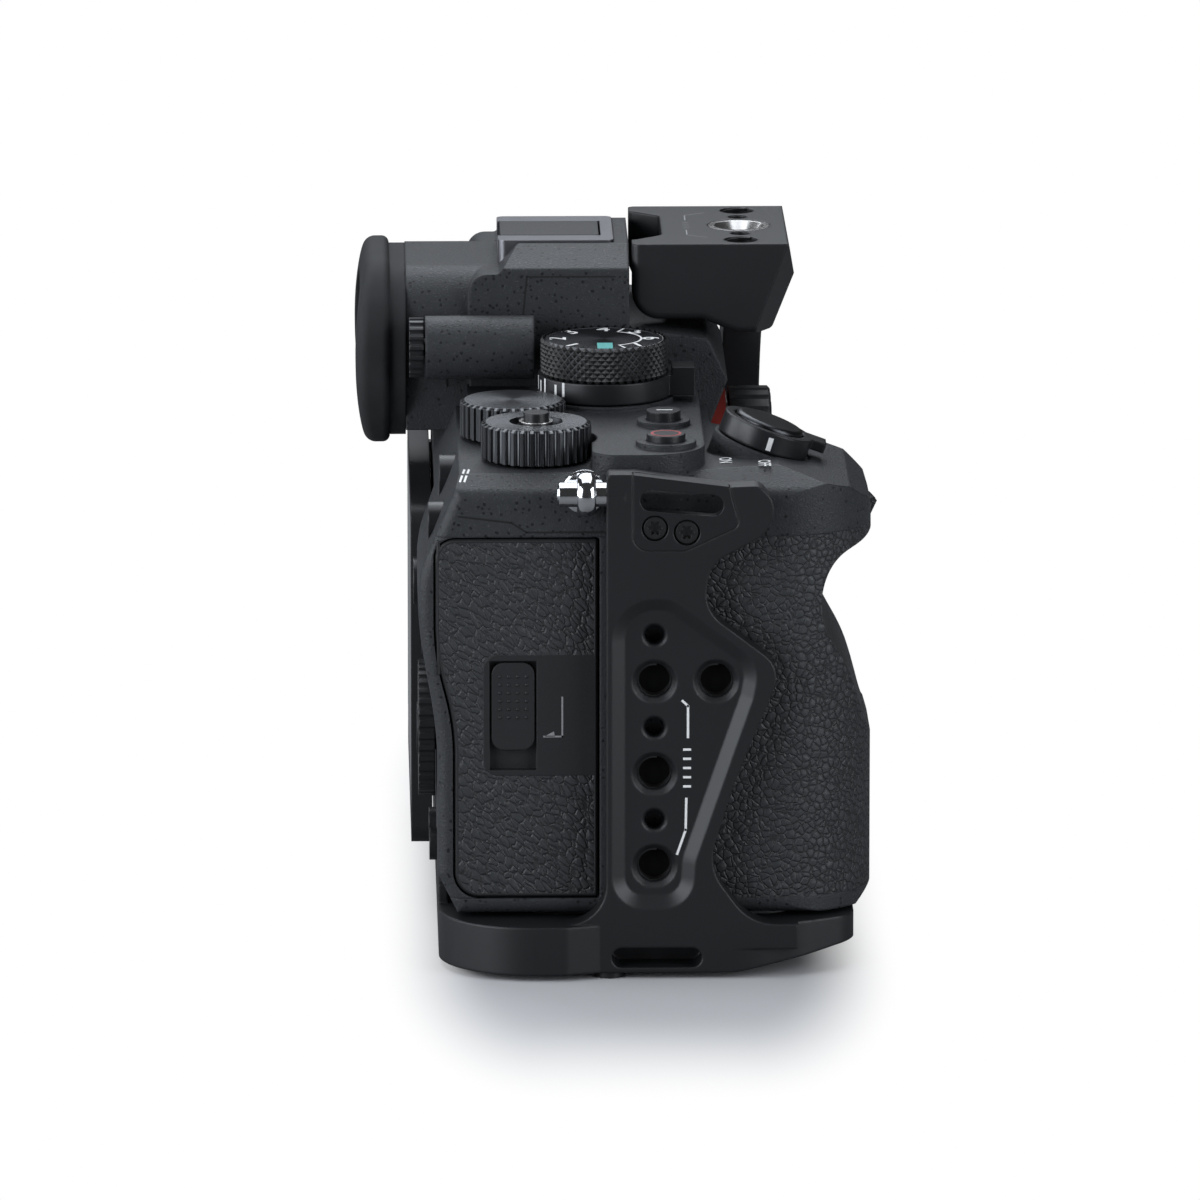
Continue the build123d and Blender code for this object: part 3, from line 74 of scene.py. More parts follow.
log = logging.getLogger("camera_cage")

Colour = tuple[float, float, float]
Point = tuple[float, float, float]
Pair = tuple[float, float]
Floats = tuple[float, ...]
Path = Sequence[Pair]

# frame axes, and the direction in which the side view looks
FORWARD, INTO, DOWN = Vector((1, 0, 0)), Vector((0, 1, 0)), Vector((0, 0, -1))
SIDE_LOOK = Vector((0.0188, 0.978, -0.2079))
# Y of a plane between the side view and the object, from which marks are dropped
NEAR = -95.0
# how far a piece stays within its node, and a mark stands off it
SLACK = 0.02
# how far off a node its marks are dropped from
APPROACH = 2.0
# points round a hidden, a plain and a bright turned piece
SMALL, ROUND, FINE = 32, 64, 96
# degrees of an arc for each of its faces
ARC_STEP = 4.0


def times(colour: Colour, factor: float) -> Colour:
    """A colour made lighter or darker."""
    return tuple(factor * value for value in colour)


def joint_named(name: str) -> dict:
    """The frame's entry of a joint."""
    return next(entry for entry in frame["joints"] if entry["name"] == name)


def middle(node: str) -> Vector:
    """Middle of a node's box in millimetres."""
    low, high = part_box(node)
    return (low + high) / 2 / MM


def on_top(node: str) -> Matrix:
    """A place just above the middle of a node's top."""
    centre = middle(node)
    return Matrix.Translation((centre.x, centre.y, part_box(node)[1].z / MM + SLACK))


def placed(name: str, data: bpy.types.ID) -> bpy.types.Object:
    """A new object that is linked to the scene."""
    made = bpy.data.objects.new(name, data)
    bpy.context.scene.collection.objects.link(made)
    return made


# ------------------------------------------------------------------ nodes as expressions
class Link:
    """An output socket whose arithmetic adds Math nodes to its tree."""

    def __init__(self, writer: "NodeWriter", socket: bpy.types.NodeSocket) -> None:
        """Keeps the socket and the writer of its tree."""
        self.writer = writer
        self.socket = socket

    def math(self, operation: str, *others: "Link | float") -> "Link":
        """The output of a new Math node on this value and the others."""
        return self.writer.node("ShaderNodeMath", {"operation": operation}, dict(enumerate((self, *others))))

    def __add__(self, other: "Link | float") -> "Link":
        """Sum."""
        return self.math("ADD", other)

    __radd__ = __add__

    def __sub__(self, other: "Link | float") -> "Link":
        """Difference."""
        return self.math("SUBTRACT", other)

    def __rsub__(self, other: float) -> "Link":
        """Difference from a number."""
        return (self * -1.0) + other

    def __mul__(self, other: "Link | float") -> "Link":
        """Product."""
        return self.math("MULTIPLY", other)

    __rmul__ = __mul__

    def __truediv__(self, other: "Link | float") -> "Link":
        """Quotient."""
        return self.math("DIVIDE", other)

    def between(self, low: float, high: float) -> "Link":
        """Rises smoothly from 0 at low to 1 at high."""
        sockets = {"Value": self, "From Min": low, "From Max": high}
        return self.writer.node("ShaderNodeMapRange", {"interpolation_type": "SMOOTHSTEP"}, sockets)

    def also(self, output: str) -> "Link":
        """Another output of the same node."""
        return Link(self.writer, self.socket.node.outputs[output])


class NodeWriter:
    """Writes nodes into one tree."""

    def __init__(self, tree: bpy.types.NodeTree) -> None:
        """Keeps the tree."""
        self.tree = tree

    def node(
        self,
        kind: str,
        settings: dict | None = None,
        sockets: dict | None = None,
        output: int | str = 0,
    ) -> Link:
        """Adds a node.

        Args:
            kind: The node's type.
            settings: Its own settings, set first.
            sockets: Values or links of its inputs, by name or number.
            output: The output that is returned.

        Returns:
            That output.
        """
        made = self.tree.nodes.new(kind)
        for key, value in (settings or {}).items():
            setattr(made, key, value)
        for key, value in (sockets or {}).items():
            if isinstance(value, Link):
                self.tree.links.new(value.socket, made.inputs[key])
            else:
                made.inputs[key].default_value = value
        return Link(self, made.outputs[output])

    def vector(self, x: "Link | float", y: "Link | float", z: "Link | float") -> Link:
        """Puts three values together."""
        return self.node("ShaderNodeCombineXYZ", sockets={"X": x, "Y": y, "Z": z})

    def vector_math(self, operation: str, *values: "Link | Point", output: int | str = 0) -> Link:
        """An output of a new Vector Math node on these values."""
        return self.node("ShaderNodeVectorMath", {"operation": operation}, dict(enumerate(values)), output)


class ShaderWriter(NodeWriter):
    """Writes one material's nodes, with lengths in millimetres."""

    def place(self) -> Link:
        """Position on the object in millimetres."""
        seat = self.node("ShaderNodeTexCoord", output="Object")
        return self.vector_math("MULTIPLY", seat, (1 / MM,) * 3)

    def noise(self, place: Link, size: float, detail: float = 2.0) -> Link:
        """Soft noise about 0.5, with grains of this size and octaves of finer detail."""
        sockets = {"Vector": place, "Scale": 1 / size, "Detail": detail}
        return self.node("ShaderNodeTexNoise", sockets=sockets)

    def cells(self, place: Link, size: float, feature: str = "DISTANCE_TO_EDGE") -> Link:
        """Distances in a Voronoi pattern with cells of this size."""
        sockets = {"Vector": place, "Scale": 1 / size}
        return self.node("ShaderNodeTexVoronoi", {"feature": feature}, sockets)

    def warp(self, place: Link, size: float, reach: float) -> Link:
        """Places shifted up to a reach by noise with grains of this size."""
        drift = self.vector_math("SUBTRACT", self.noise(place, size).also("Color"), (0.5,) * 3)
        return self.vector_math("MULTIPLY_ADD", drift, (2 * reach,) * 3, place)

    def blend(self, factor: "Link | float", low: "Link | Colour", high: "Link | Colour") -> Link:
        """Mixes two colours.

        Args:
            factor: Share of the second colour.
            low: The first colour.
            high: The second colour.

        Returns:
            The mixed colour.
        """
        first, second = (
            value if isinstance(value, Link) else (*value, 1.0) for value in (low, high)
        )
        return self.node("ShaderNodeMix", {"data_type": "RGBA"}, {0: factor, 6: first, 7: second}, 2)

    def rounded(self, radius: float) -> Link:
        """Normals of edges that are rounded to this radius."""
        return self.node("ShaderNodeBevel", {"samples": 6}, {"Radius": radius * MM})

    def relief(self, height: Link, depth: float, normal: Link | None = None) -> Link:
        """Bumps.

        Args:
            height: Height from 0 to 1.
            depth: Height of 1 in millimetres.
            normal: The normal that is bumped.

        Returns:
            The bumped normal.
        """
        sockets = {"Height": height, "Distance": depth * MM, "Strength": 1.0}
        if normal is not None:
            sockets["Normal"] = normal
        return self.node("ShaderNodeBump", sockets=sockets)

    def surface(self, colour: "Link | Colour", roughness: "Link | float", **more) -> None:
        """Ends the material in a Principled shader.

        Args:
            colour: Base colour.
            roughness: Roughness.
            more: Other sockets, by their names with underscores for spaces.
        """
        sockets = {
            "Base Color": colour if isinstance(colour, Link) else (*colour, 1.0),
            "Roughness": roughness,
        }
        for key, value in more.items():
            words = (word if word == "IOR" else word.capitalize() for word in key.split("_"))
            sockets[" ".join(words)] = value
        shader = self.node("ShaderNodeBsdfPrincipled", sockets=sockets)
        self.node_output(shader)

    def node_output(self, shader: Link) -> None:
        """Links a shader to the material's output."""
        made = self.tree.nodes.new("ShaderNodeOutputMaterial")
        self.tree.links.new(shader.socket, made.inputs["Surface"])


def cleared(owner: bpy.types.Material | bpy.types.World) -> ShaderWriter:
    """A writer for the emptied tree of a material or a world."""
    owner.use_nodes = True
    owner.node_tree.nodes.clear()
    return ShaderWriter(owner.node_tree)


# ------------------------------------------------------------------ finishes
@dataclass(frozen=True)
class Finish:
    """A finish of one kind of surface."""

    name: str
    slot: str
    rounding: float = 0.25

    def material(self) -> bpy.types.Material:
        """Its material, made when it is first asked for."""
        made = bpy.data.materials.get(self.name)
        if made is None:
            made = bpy.data.materials.new(self.name)
            self.shade(cleared(made))
        return made

    def shade(self, w: ShaderWriter) -> None:
        """Writes the material's nodes."""
        raise NotImplementedError


@dataclass(frozen=True)
class Anodised(Finish):
    """Bead-blasted and anodised aluminium."""

    dark: Colour = (0.0060, 0.0066, 0.0076)
    light: Colour = (0.0090, 0.0097, 0.0112)
    gloss: float = 0.38
    grain: float = 0.22

    def shade(self, w: ShaderWriter) -> None:
        """Fine grain, slow tone and rounded edges."""
        place = w.place()
        grain = w.noise(place, self.grain, 3.0)
        tone = w.noise(place, 14.0)
        colour = w.blend(tone, self.dark, self.light)
        normal = w.relief(grain, 0.006, w.rounded(self.rounding))
        w.surface(colour, self.gloss + grain * 0.12, normal=normal, specular_IOR_level=0.5)


@dataclass(frozen=True)
class CracklePaint(Finish):
    """Speckled textured paint of the camera's covers."""

    base: Colour = (0.0215, 0.0227, 0.0250)
    sand: float = 0.09

    def shade(self, w: ShaderWriter) -> None:
        """Sandy grains, sparse recessed pits coloured near black as painted shade, and lighter glossier flecks
        whose lighter colour is a painted glint.
        """
        place = w.place()
        grains = w.noise(w.warp(place, 0.6, 0.2), 0.34, 2.0)
        patches = w.noise(place, 1.3, 3.0)
        pores = w.cells(w.warp(place, 0.8, 0.25), 1.0, "F1")
        pits = pores.between(0.31, 0.18) * pores.also("Color").between(0.48, 0.52)
        flecks = grains.between(0.6, 0.72)
        colour = w.blend(patches, self.base, times(self.base, 1.35))
        # painted glints: the flecks are coloured lighter, besides being glossier
        colour = w.blend(flecks * 0.5, colour, (0.060, 0.062, 0.068))
        # painted shade: the recessed pits are coloured near black
        colour = w.blend(pits * 0.85, colour, (0.003, 0.003, 0.004))
        height = grains * 1.1 + patches * 0.12 - pits * 0.15
        normal = w.relief(height, self.sand, w.rounded(self.rounding))
        w.surface(colour, 0.5 - flecks * 0.18, normal=normal, specular_IOR_level=0.26)


@dataclass(frozen=True)
class Leather(Finish):
    """Pebbled leatherette."""

    pebble: float = 1.15
    depth: float = 0.34
    lean: float = 0.0
    stretch: Point = (1.0, 1.0, 1.0)
    wander: float = 0.42
    base: Colour = (0.023, 0.0245, 0.027)

    def shade(self, w: ShaderWriter) -> None:
        """Rounded pebbles of uneven size between creases, with finer grain over them; painted shade makes the
        creases darker and the pebbles' tops lighter.
        """
        place = w.place()
        if self.lean:
            place = w.node(
                "ShaderNodeVectorRotate",
                {"rotation_type": "Y_AXIS"},
                {"Vector": place, "Angle": math.radians(self.lean)},
            )
        place = w.vector_math("MULTIPLY", place, self.stretch)
        bent = w.warp(w.warp(place, 2.6, self.wander), 0.8, 0.4 * self.wander)
        domes = 1.0 - w.cells(bent, self.pebble, "F1")
        creases = w.cells(bent, self.pebble).between(0.0, 0.16)
        folds = w.noise(w.warp(place, 1.4, 0.5), 1.7, 2.0)
        hair = w.noise(place, 0.14, 2.0)
        tone = w.noise(place, 6.0, 3.0)
        height = domes * 0.4 + creases * 0.35 + folds * 0.5 + hair * 0.06
        # painted shade: the creases are coloured darker and the pebbles' tops lighter, as light falls on them
        colour = w.blend(creases * 0.7 + domes * 0.3, times(self.base, 0.35), self.base)
        colour = w.blend(tone * 0.35, colour, times(self.base, 1.15))
        roughness = 0.5 - domes * 0.06 + hair * 0.1
        w.surface(colour, roughness, normal=w.relief(height, self.depth), specular_IOR_level=0.5)


@dataclass(frozen=True)
class Rubber(Finish):
    """Matte rubber."""

    base: Colour = (0.0125, 0.013, 0.0142)

    def shade(self, w: ShaderWriter) -> None:
        """Even and matte, with a faint bloom."""
        place = w.place()
        bloom = w.noise(place, 5.0, 4.0)
        grain = w.noise(place, 0.12, 2.0)
        colour = w.blend(bloom.between(0.35, 0.75) * 0.5, self.base, times(self.base, 1.7))
        normal = w.relief(grain, 0.008, w.rounded(self.rounding))
        w.surface(colour, 0.66 + grain * 0.12, normal=normal, specular_IOR_level=0.3)


@dataclass(frozen=True)
class Moulded(Finish):
    """Smooth moulded plastic or smooth paint."""

    base: Colour = (0.0085, 0.009, 0.0102)
    gloss: float = 0.42
    level: float = 0.45
    texture: float = 0.006

    def shade(self, w: ShaderWriter) -> None:
        """A fine mould texture."""
        place = w.place()
        grain = w.noise(place, 0.3, 2.0)
        colour = w.blend(w.noise(place, 8.0), self.base, times(self.base, 1.25))
        normal = w.relief(grain, self.texture, w.rounded(self.rounding))
        w.surface(colour, self.gloss + grain * 0.1, normal=normal, specular_IOR_level=self.level)


@dataclass(frozen=True)
class Spun(Finish):
    """Metal turned about an axis, with fine tool rings."""

    centre: Point = (0.0, 0.0, 0.0)
    axis: Point = (0.0, 0.0, 1.0)
    base: Colour = (0.150, 0.154, 0.163)
    pitch: float = 0.16
    depth: float = 0.006
    gloss: float = 0.26
    metal: float = 0.9
    drag: float = 0.75

    def shade(self, w: ShaderWriter) -> None:
        """Rings about the axis, of uneven depth."""
        place = w.place()
        across = w.vector_math("CROSS_PRODUCT", w.vector_math("SUBTRACT", place, self.centre), self.axis)
        radius = w.vector_math("LENGTH", across, output="Value")
        rings = (radius * (TURN / self.pitch)).math("SINE") * 0.5 + 0.5
        uneven = w.noise(w.vector(radius, 0.0, 0.0), 0.5, 3.0)
        colour = w.blend(uneven, self.base, times(self.base, 1.3))
        normal = w.relief(rings * uneven, self.depth * 2, w.rounded(self.rounding))
        w.surface(colour, self.gloss, metallic=self.metal, anisotropic=self.drag, normal=normal)


@dataclass(frozen=True)
class BareMetal(Finish):
    """Polished or satin bare metal."""

    base: Colour = (0.72, 0.71, 0.69)
    gloss: float = 0.14

    def shade(self, w: ShaderWriter) -> None:
        """Faint smears on a bright surface."""
        place = w.place()
        smear = w.noise(place, 1.6, 4.0)
        normal = w.relief(w.noise(place, 0.25, 2.0), 0.003, w.rounded(self.rounding))
        w.surface(self.base, self.gloss + smear * 0.1, metallic=1.0, normal=normal)


@dataclass(frozen=True)
class Print(Finish):
    """Printed or engraved paint."""

    base: Colour = (0.75, 0.75, 0.75)

    def shade(self, w: ShaderWriter) -> None:
        """Slightly uneven ink."""
        ink = w.noise(w.place(), 0.25, 2.0)
        colour = w.blend(ink, times(self.base, 0.8), self.base)
        w.surface(colour, 0.5 + ink * 0.1)


@dataclass(frozen=True)
class Glass(Finish):
    """Coated glass over a dark ground."""

    base: Colour = (0.004, 0.005, 0.008)

    def shade(self, w: ShaderWriter) -> None:
        """Dark and glossy, with a faint haze."""
        haze = w.noise(w.place(), 9.0, 3.0)
        colour = w.blend(haze, self.base, times(self.base, 1.6))
        w.surface(colour, 0.06 + haze * 0.06, coat_weight=0.6, coat_roughness=0.03)


CAGE = Anodised("cage_anodised", "black_anodised", 0.55)
INSERT = Anodised("insert_anodised", "black_anodised", 0.3, gloss=0.34)
SCREW = Anodised("screw_oxide", "black_screw", 0.1, dark=(0.007,) * 3, light=(0.013,) * 3, gloss=0.3)
SHELL = CracklePaint("shell_paint", "shell", 0.6)
GRIP = Leather("grip_leather", "grip_rubber")
DOOR_LEATHER = Leather(
    "door_leather_skin",
    "grip_rubber",
    pebble=1.3,
    depth=0.42,
    lean=38.0,
    stretch=(1.4, 1.0, 0.7),
    wander=0.55,
)
EYE_RUBBER = Rubber("eyecup_rubber", "pad_rubber", 0.5)
PAD = Rubber("pad_rubber_black", "pad_rubber", 0.2, base=(0.014, 0.014, 0.014))
PLASTIC = Moulded("cover_plastic_black", "cover_plastic", 0.3)
DOOR_PAINT = Moulded("door_paint", "cover_plastic", 0.25, texture=0.02, gloss=0.5)
BUTTON = Moulded("button_black", "button", 0.3, gloss=0.32)
# black discs of painted shade in the threaded bores of the side plate
BORE_SHADE = Moulded("well_black", "black_anodised", 0.1, base=(0.003, 0.003, 0.003), gloss=0.7, level=0.1)
CHROME = BareMetal("chrome_bright", "bright_steel", 0.15, base=(0.70, 0.71, 0.73), gloss=0.06)
STEEL = BareMetal("steel_satin", "bright_steel", 0.15, base=(0.62, 0.61, 0.60), gloss=0.2)
FLANGE = BareMetal("flange_satin", "flange_steel", 0.2, base=(0.55, 0.55, 0.55), gloss=0.28)
SHOE = BareMetal("shoe_grey", "shoe_steel", 0.2, base=(0.21, 0.21, 0.225), gloss=0.34)
FLUTES = BareMetal("flute_metal", "control", 0.08, base=(0.060, 0.062, 0.066), gloss=0.28)
RING_RED = Moulded("ring_red_orange", "ring_red", 0.2, base=(0.20, 0.026, 0.020), gloss=0.3)
WHEEL_BLACK = Moulded("wheel_black", "control", 0.1, gloss=0.26, level=0.6)
WHITE = Print("print_white", "button")
SEAM = Print("seam_black", "shell", base=(0.002, 0.002, 0.002))
GREY = Print("print_grey", "button", base=(0.22, 0.22, 0.23))
RED = Print("print_red", "button", base=(0.30, 0.02, 0.022))
TEAL = Print("print_teal", "button", base=(0.045, 0.33, 0.31))
SCREEN = Glass("screen_glass", "screen", 0.1)
EYE_GLASS = Glass("eyepiece_coating", "eyepiece", 0.1, base=(0.006, 0.005, 0.012))


# ------------------------------------------------------------------ meshes
@dataclass
class Shape:
    """Points in millimetres and faces, before they become a piece."""

    points: list[Vector] = field(default_factory=list)
    faces: list[tuple[int, ...]] = field(default_factory=list)

    def add(self, other: "Shape", seat: Matrix | None = None) -> "Shape":
        """Joins another shape to this one.

        Args:
            other: The shape that is joined.
            seat: Where it goes.

        Returns:
            This shape.
        """
        start = len(self.points)
        self.points += [seat @ point if seat else point for point in other.points]
        self.faces += [tuple(start + corner for corner in face) for face in other.faces]
        return self

    def piece(
        self, name: str, finish: Finish, body: str, sharp: float = 32.0, replaces: Sequence[str] = ()
    ) -> bpy.types.Object:
        """Makes the piece.

        Args:
            name: Its name.
            finish: Its finish.
            body: The body that it rides on.
            sharp: Edges that turn by more degrees than this stay sharp.
            replaces: The CAD nodes that it stands for.

        Returns:
            The piece.
        """
        mesh = bpy.data.meshes.new(name)
        mesh.from_pydata([point * MM for point in self.points], [], self.faces)
        made = bmesh.new()
        made.from_mesh(mesh)
        bmesh.ops.remove_doubles(made, verts=made.verts, dist=1e-7)
        if all(edge.is_manifold for edge in made.edges):
            bmesh.ops.recalc_face_normals(made, faces=made.faces)
        made.to_mesh(mesh)
        made.free()
        mesh.shade_smooth()
        mesh.set_sharp_from_angle(angle=math.radians(sharp))
        return settle(mesh, finish, body, replaces)


def settle(
    mesh: bpy.types.Mesh, finish: Finish, body: str, replaces: Sequence[str] = ()
) -> bpy.types.Object:
    """Puts a piece in the scene and on its body.

    Args:
        mesh: The piece's mesh, which has the piece's name.
        finish: Its finish.
        body: The body that it rides on.
        replaces: The CAD nodes that it stands for.

    Returns:
        The piece.
    """
    mesh.materials.append(finish.material())
    piece = placed(mesh.name, mesh)
    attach(piece, body)
    if replaces:
        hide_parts(*replaces)
    log.info("%s: %d faces on %s", piece.name, len(piece.data.polygons), body)
    return piece


def evaluated(carrier: bpy.types.Object) -> Shape:
    """Takes the shape that an object's modifiers or characters make.

    Args:
        carrier: The object, which is removed.

    Returns:
        The shape.
    """
    graph = bpy.context.evaluated_depsgraph_get()
    mesh = bpy.data.meshes.new_from_object(carrier.evaluated_get(graph))
    shape = Shape([vertex.co.copy() for vertex in mesh.vertices])
    shape.faces = [tuple(face.vertices) for face in mesh.polygons]
    bpy.data.objects.remove(carrier)
    bpy.data.meshes.remove(mesh)
    return shape


def dress(finish: Finish, *nodes: str) -> None:
    """Gives CAD nodes a finish.

    Args:
        finish: The finish.
        nodes: The nodes.
    """
    for node in nodes:
        for slot in frame["nodes"][node].material_slots:
            slot.material = finish.material()
        log.info("%s: %s", node, finish.name)


def turned(
    profile: Sequence[Pair], steps: int, rim: Callable[[int, float], float] | None = None
) -> Shape:
    """A solid turned about Z.

    Args:
        profile: (radius, height) from one pole to the other.
        steps: Points round it.
        rim: Change of radius for a profile point's number and an angle.

    Returns:
        The closed shape.
    """
    shape = Shape()
    rows = []
    for number, (radius, height) in enumerate(profile):
        if radius <= 0:
            rows.append([len(shape.points)])
            shape.points.append(Vector((0, 0, height)))
            continue
        rows.append(list(range(len(shape.points), len(shape.points) + steps)))
        for step in range(steps):
            angle = TURN * step / steps
            reach = radius + (rim(number, angle) if rim else 0.0)
            shape.points.append(Vector((reach * math.cos(angle), reach * math.sin(angle), height)))
    for low, high in zip(rows, rows[1:]):
        for step in range(steps):
            after = (step + 1) % steps
            around = ((low, step), (low, after), (high, after), (high, step))
            shape.faces.append(tuple(dict.fromkeys(row[place % len(row)] for row, place in around)))
    return shape


def seat_on(origin: Sequence[float], axis: Sequence[float]) -> Matrix:
    """Matrix that stands Z along an axis at a place in millimetres."""
    turn = Vector(axis).to_track_quat("Z", "Y").to_matrix().to_4x4()
    return Matrix.Translation(Vector(origin)) @ turn


@dataclass(frozen=True)
class Spindle:
    """The line that a piece turns about, and the node's reach along and round it."""

    node: str
    joint: str

    def facts(self) -> tuple[Vector, Vector, float, float, float]:
        """Measures the node about its joint's axis.

        Returns:
            A point of the axis, its direction, the lowest and highest place along it, and
            the largest radius, in millimetres.
        """
        joint = joint_named(self.joint)
        origin = Vector(joint["pos_m"]) / MM
        axis = Vector(joint["axis"]).normalized()
        arms = [vertex.co / MM - origin for vertex in frame["nodes"][self.node].data.vertices]
        along = [arm.dot(axis) for arm in arms]
        reach = max((arm - axis * part).length for arm, part in zip(arms, along))
        return origin, axis, min(along), max(along), reach


class Stamp:
    """Lays thin printed marks on the surface of CAD nodes."""

    def __init__(self, *nodes: str, lift: float = SLACK) -> None:
        """Collects the nodes' surfaces.

        Args:
            nodes: The nodes that carry the mark.
            lift: How far the ink stands off.
        """
        points: list[Vector] = []
        faces: list[tuple[int, ...]] = []
        for node in nodes:
            mesh = frame["nodes"][node].data
            start = len(points)
            points += [vertex.co / MM for vertex in mesh.vertices]
            faces += [tuple(start + corner for corner in face.vertices) for face in mesh.polygons]
        self.tree = BVHTree.FromPolygons(points, faces)
        self.lift = lift

    def patch(self, corners: Sequence[Vector], towards: Vector, cells: int = 6) -> Shape:
        """Drops a four-sided patch onto the surface.

        Args:
            corners: Its corners, in order, off the surface.
            towards: The direction that it drops in.
            cells: Cells along each side.

        Returns:
            The patch, without the points that miss.
        """
        shape = Shape()
        grid: dict[tuple[int, int], int] = {}
        low, right, high, left = (Vector(corner) for corner in corners)
        way = Vector(towards).normalized()
        for row in range(cells + 1):
            for column in range(cells + 1):
                u, v = column / cells, row / cells
                start = low.lerp(right, u).lerp(left.lerp(high, u), v)
                hit = self.tree.ray_cast(start, way)[0]
                if hit is not None:
                    grid[row, column] = len(shape.points)
                    shape.points.append(hit - way * self.lift)
        for row in range(cells):
            for column in range(cells):
                keys = [(row, column), (row, column + 1), (row + 1, column + 1), (row + 1, column)]
                if all(key in grid for key in keys):
                    face = tuple(grid[key] for key in keys)
                    a, b, c = (shape.points[corner] for corner in face[:3])
                    shape.faces.append(face if (b - a).cross(c - b).dot(way) < 0 else face[::-1])
        return shape

    def drape(self, flat: Shape, turn: float, start: Vector) -> Shape:
        """Lays a flat shape against the surface where the side view's ray from a point lands.

        Args:
            flat: The shape, about the origin.
            turn: Its turn about Z in degrees.
            start: A point off the surface, on the side view's ray.

        Returns:
            The draped shape, empty if the ray misses.
        """
        spot, normal = self.tree.ray_cast(start, SIDE_LOOK)[:2]
        if spot is None:
            return Shape()
        tilt = Vector((0, 0, 1)).rotation_difference(normal).to_matrix().to_4x4()
        spin = Matrix.Rotation(math.radians(turn), 4, "Z")
        return Shape().add(flat, Matrix.Translation(spot + normal * self.lift) @ tilt @ spin)

    def line(self, ends: Sequence[Vector], width: float, towards: Vector, side: Vector) -> Shape:
        """Drops a line of patches.

        Args:
            ends: The line's points.
            width: Its width.
            towards: The direction that it drops in.
            side: Normal of the plane that the line is drawn in.

        Returns:
            The line.
        """
        shape = Shape()
        for start, end in zip(ends, ends[1:]):
            along = (end - start).normalized()
            across = along.cross(side).normalized() * (width / 2)
            begin, stop = start - along * (width / 2), end + along * (width / 2)
            shape.add(self.patch([begin - across, stop - across, stop + across, begin + across], towards))
        return shape

    def side_lines(self, paths: Sequence[Path], width: float, near: float, towards: Vector) -> Shape:
        """Drops lines that are given as the side view shows them.

        Args:
            paths: The lines' points, (X, Z).
            width: Their width.
            near: The Y that they drop from.
            towards: The direction that they drop in.

        Returns:
            The lines.
        """
        shape = Shape()
        for path in paths:
            shape.add(self.line([Vector((x, near, z)) for x, z in path], width, towards, INTO))
        return shape


# ------------------------------------------------------------------ geometry node trees
class GeometryTree(NodeWriter):
    """A Geometry Nodes tree with named inputs, turned into plain meshes."""

    def __init__(self, name: str, counts: Sequence[str], sizes: Sequence[str]) -> None:
        """Makes the tree.

        Args:
            name: Its name.
            counts: Names of its inputs that are whole numbers.
            sizes: Names of the others.
        """
        super().__init__(bpy.data.node_groups.new(name, "GeometryNodeTree"))
        face = self.tree.interface
        face.new_socket("Geometry", in_out="OUTPUT", socket_type="NodeSocketGeometry")
        kinds = {**dict.fromkeys(counts, "NodeSocketInt"), **dict.fromkeys(sizes, "NodeSocketFloat")}
        self.keys = {}
        for label, kind in {**kinds, "Material": "NodeSocketMaterial"}.items():
            self.keys[label] = face.new_socket(label, in_out="INPUT", socket_type=kind).identifier
        self.source = self.tree.nodes.new("NodeGroupInput")

    def given(self, label: str) -> Link:
        """A named input."""
        return Link(self, self.source.outputs[label])

    def passed(self, **labels: str) -> dict[str, Link]:
        """Sockets of a node, with underscores for spaces, linked to named inputs."""
        return {socket.replace("_", " "): self.given(label) for socket, label in labels.items()}

    def close(self, geometry: Link) -> None:
        """Ends the tree in real geometry with its material.

        Args:
            geometry: What the tree has made.
        """
        real = self.node("GeometryNodeRealizeInstances", sockets={"Geometry": geometry})
        painted = self.node(
            "GeometryNodeSetMaterial", sockets={"Geometry": real, "Material": self.given("Material")}
        )
        end = self.tree.nodes.new("NodeGroupOutput")
        self.tree.links.new(painted.socket, end.inputs[0])

    def make(self, finish: Finish, **values: float) -> Shape:
        """Runs the tree.

        Args:
            finish: The material that it sets.
            values: Its inputs, by name.

        Returns:
            What it made, in millimetres.
        """
        carrier = placed("carrier", bpy.data.meshes.new("carrier"))
        modifier = carrier.modifiers.new("tree", "NODES")
        modifier.node_group = self.tree
        for label, value in values.items():
            modifier[self.keys[label]] = value
        modifier[self.keys["Material"]] = finish.material()
        return evaluated(carrier)


class Rim(GeometryTree):
    """Rows of four-sided points round a rim: a diamond knurl."""

    def __init__(self) -> None:
        """Writes the tree."""
        super().__init__("rim_knurl", ("Count", "Rows"), ("Radius", "Floor", "Pitch", "Size", "Height"))
        index = self.node("GeometryNodeInputIndex")
        count = self.given("Count")
        row = (index / count).math("FLOOR")
        column = index - row * count
        angle = (column + row.math("MODULO", 2.0) * 0.5) * TURN / count
        radius = self.given("Radius")
        spot = self.vector(
            radius * angle.math("COSINE"),
            radius * angle.math("SINE"),
            self.given("Floor") + row * self.given("Pitch"),
        )
        line = self.node("GeometryNodeMeshLine", {"mode": "OFFSET"}, {"Count": count * self.given("Rows")})
        dots = self.node("GeometryNodeSetPosition", sockets={"Geometry": line, "Position": spot})
        cone = {"Vertices": 4, "Radius Top": 0.0, **self.passed(Radius_Bottom="Size", Depth="Height")}
        point = self.node("GeometryNodeMeshCone", {"fill_type": "NONE"}, cone)
        euler = {"Euler": self.vector(0.0, math.pi / 2, angle)}
        turn = self.node("FunctionNodeEulerToRotation", sockets=euler)
        copies = {"Points": dots, "Instance": point, "Rotation": turn}
        self.close(self.node("GeometryNodeInstanceOnPoints", sockets=copies))


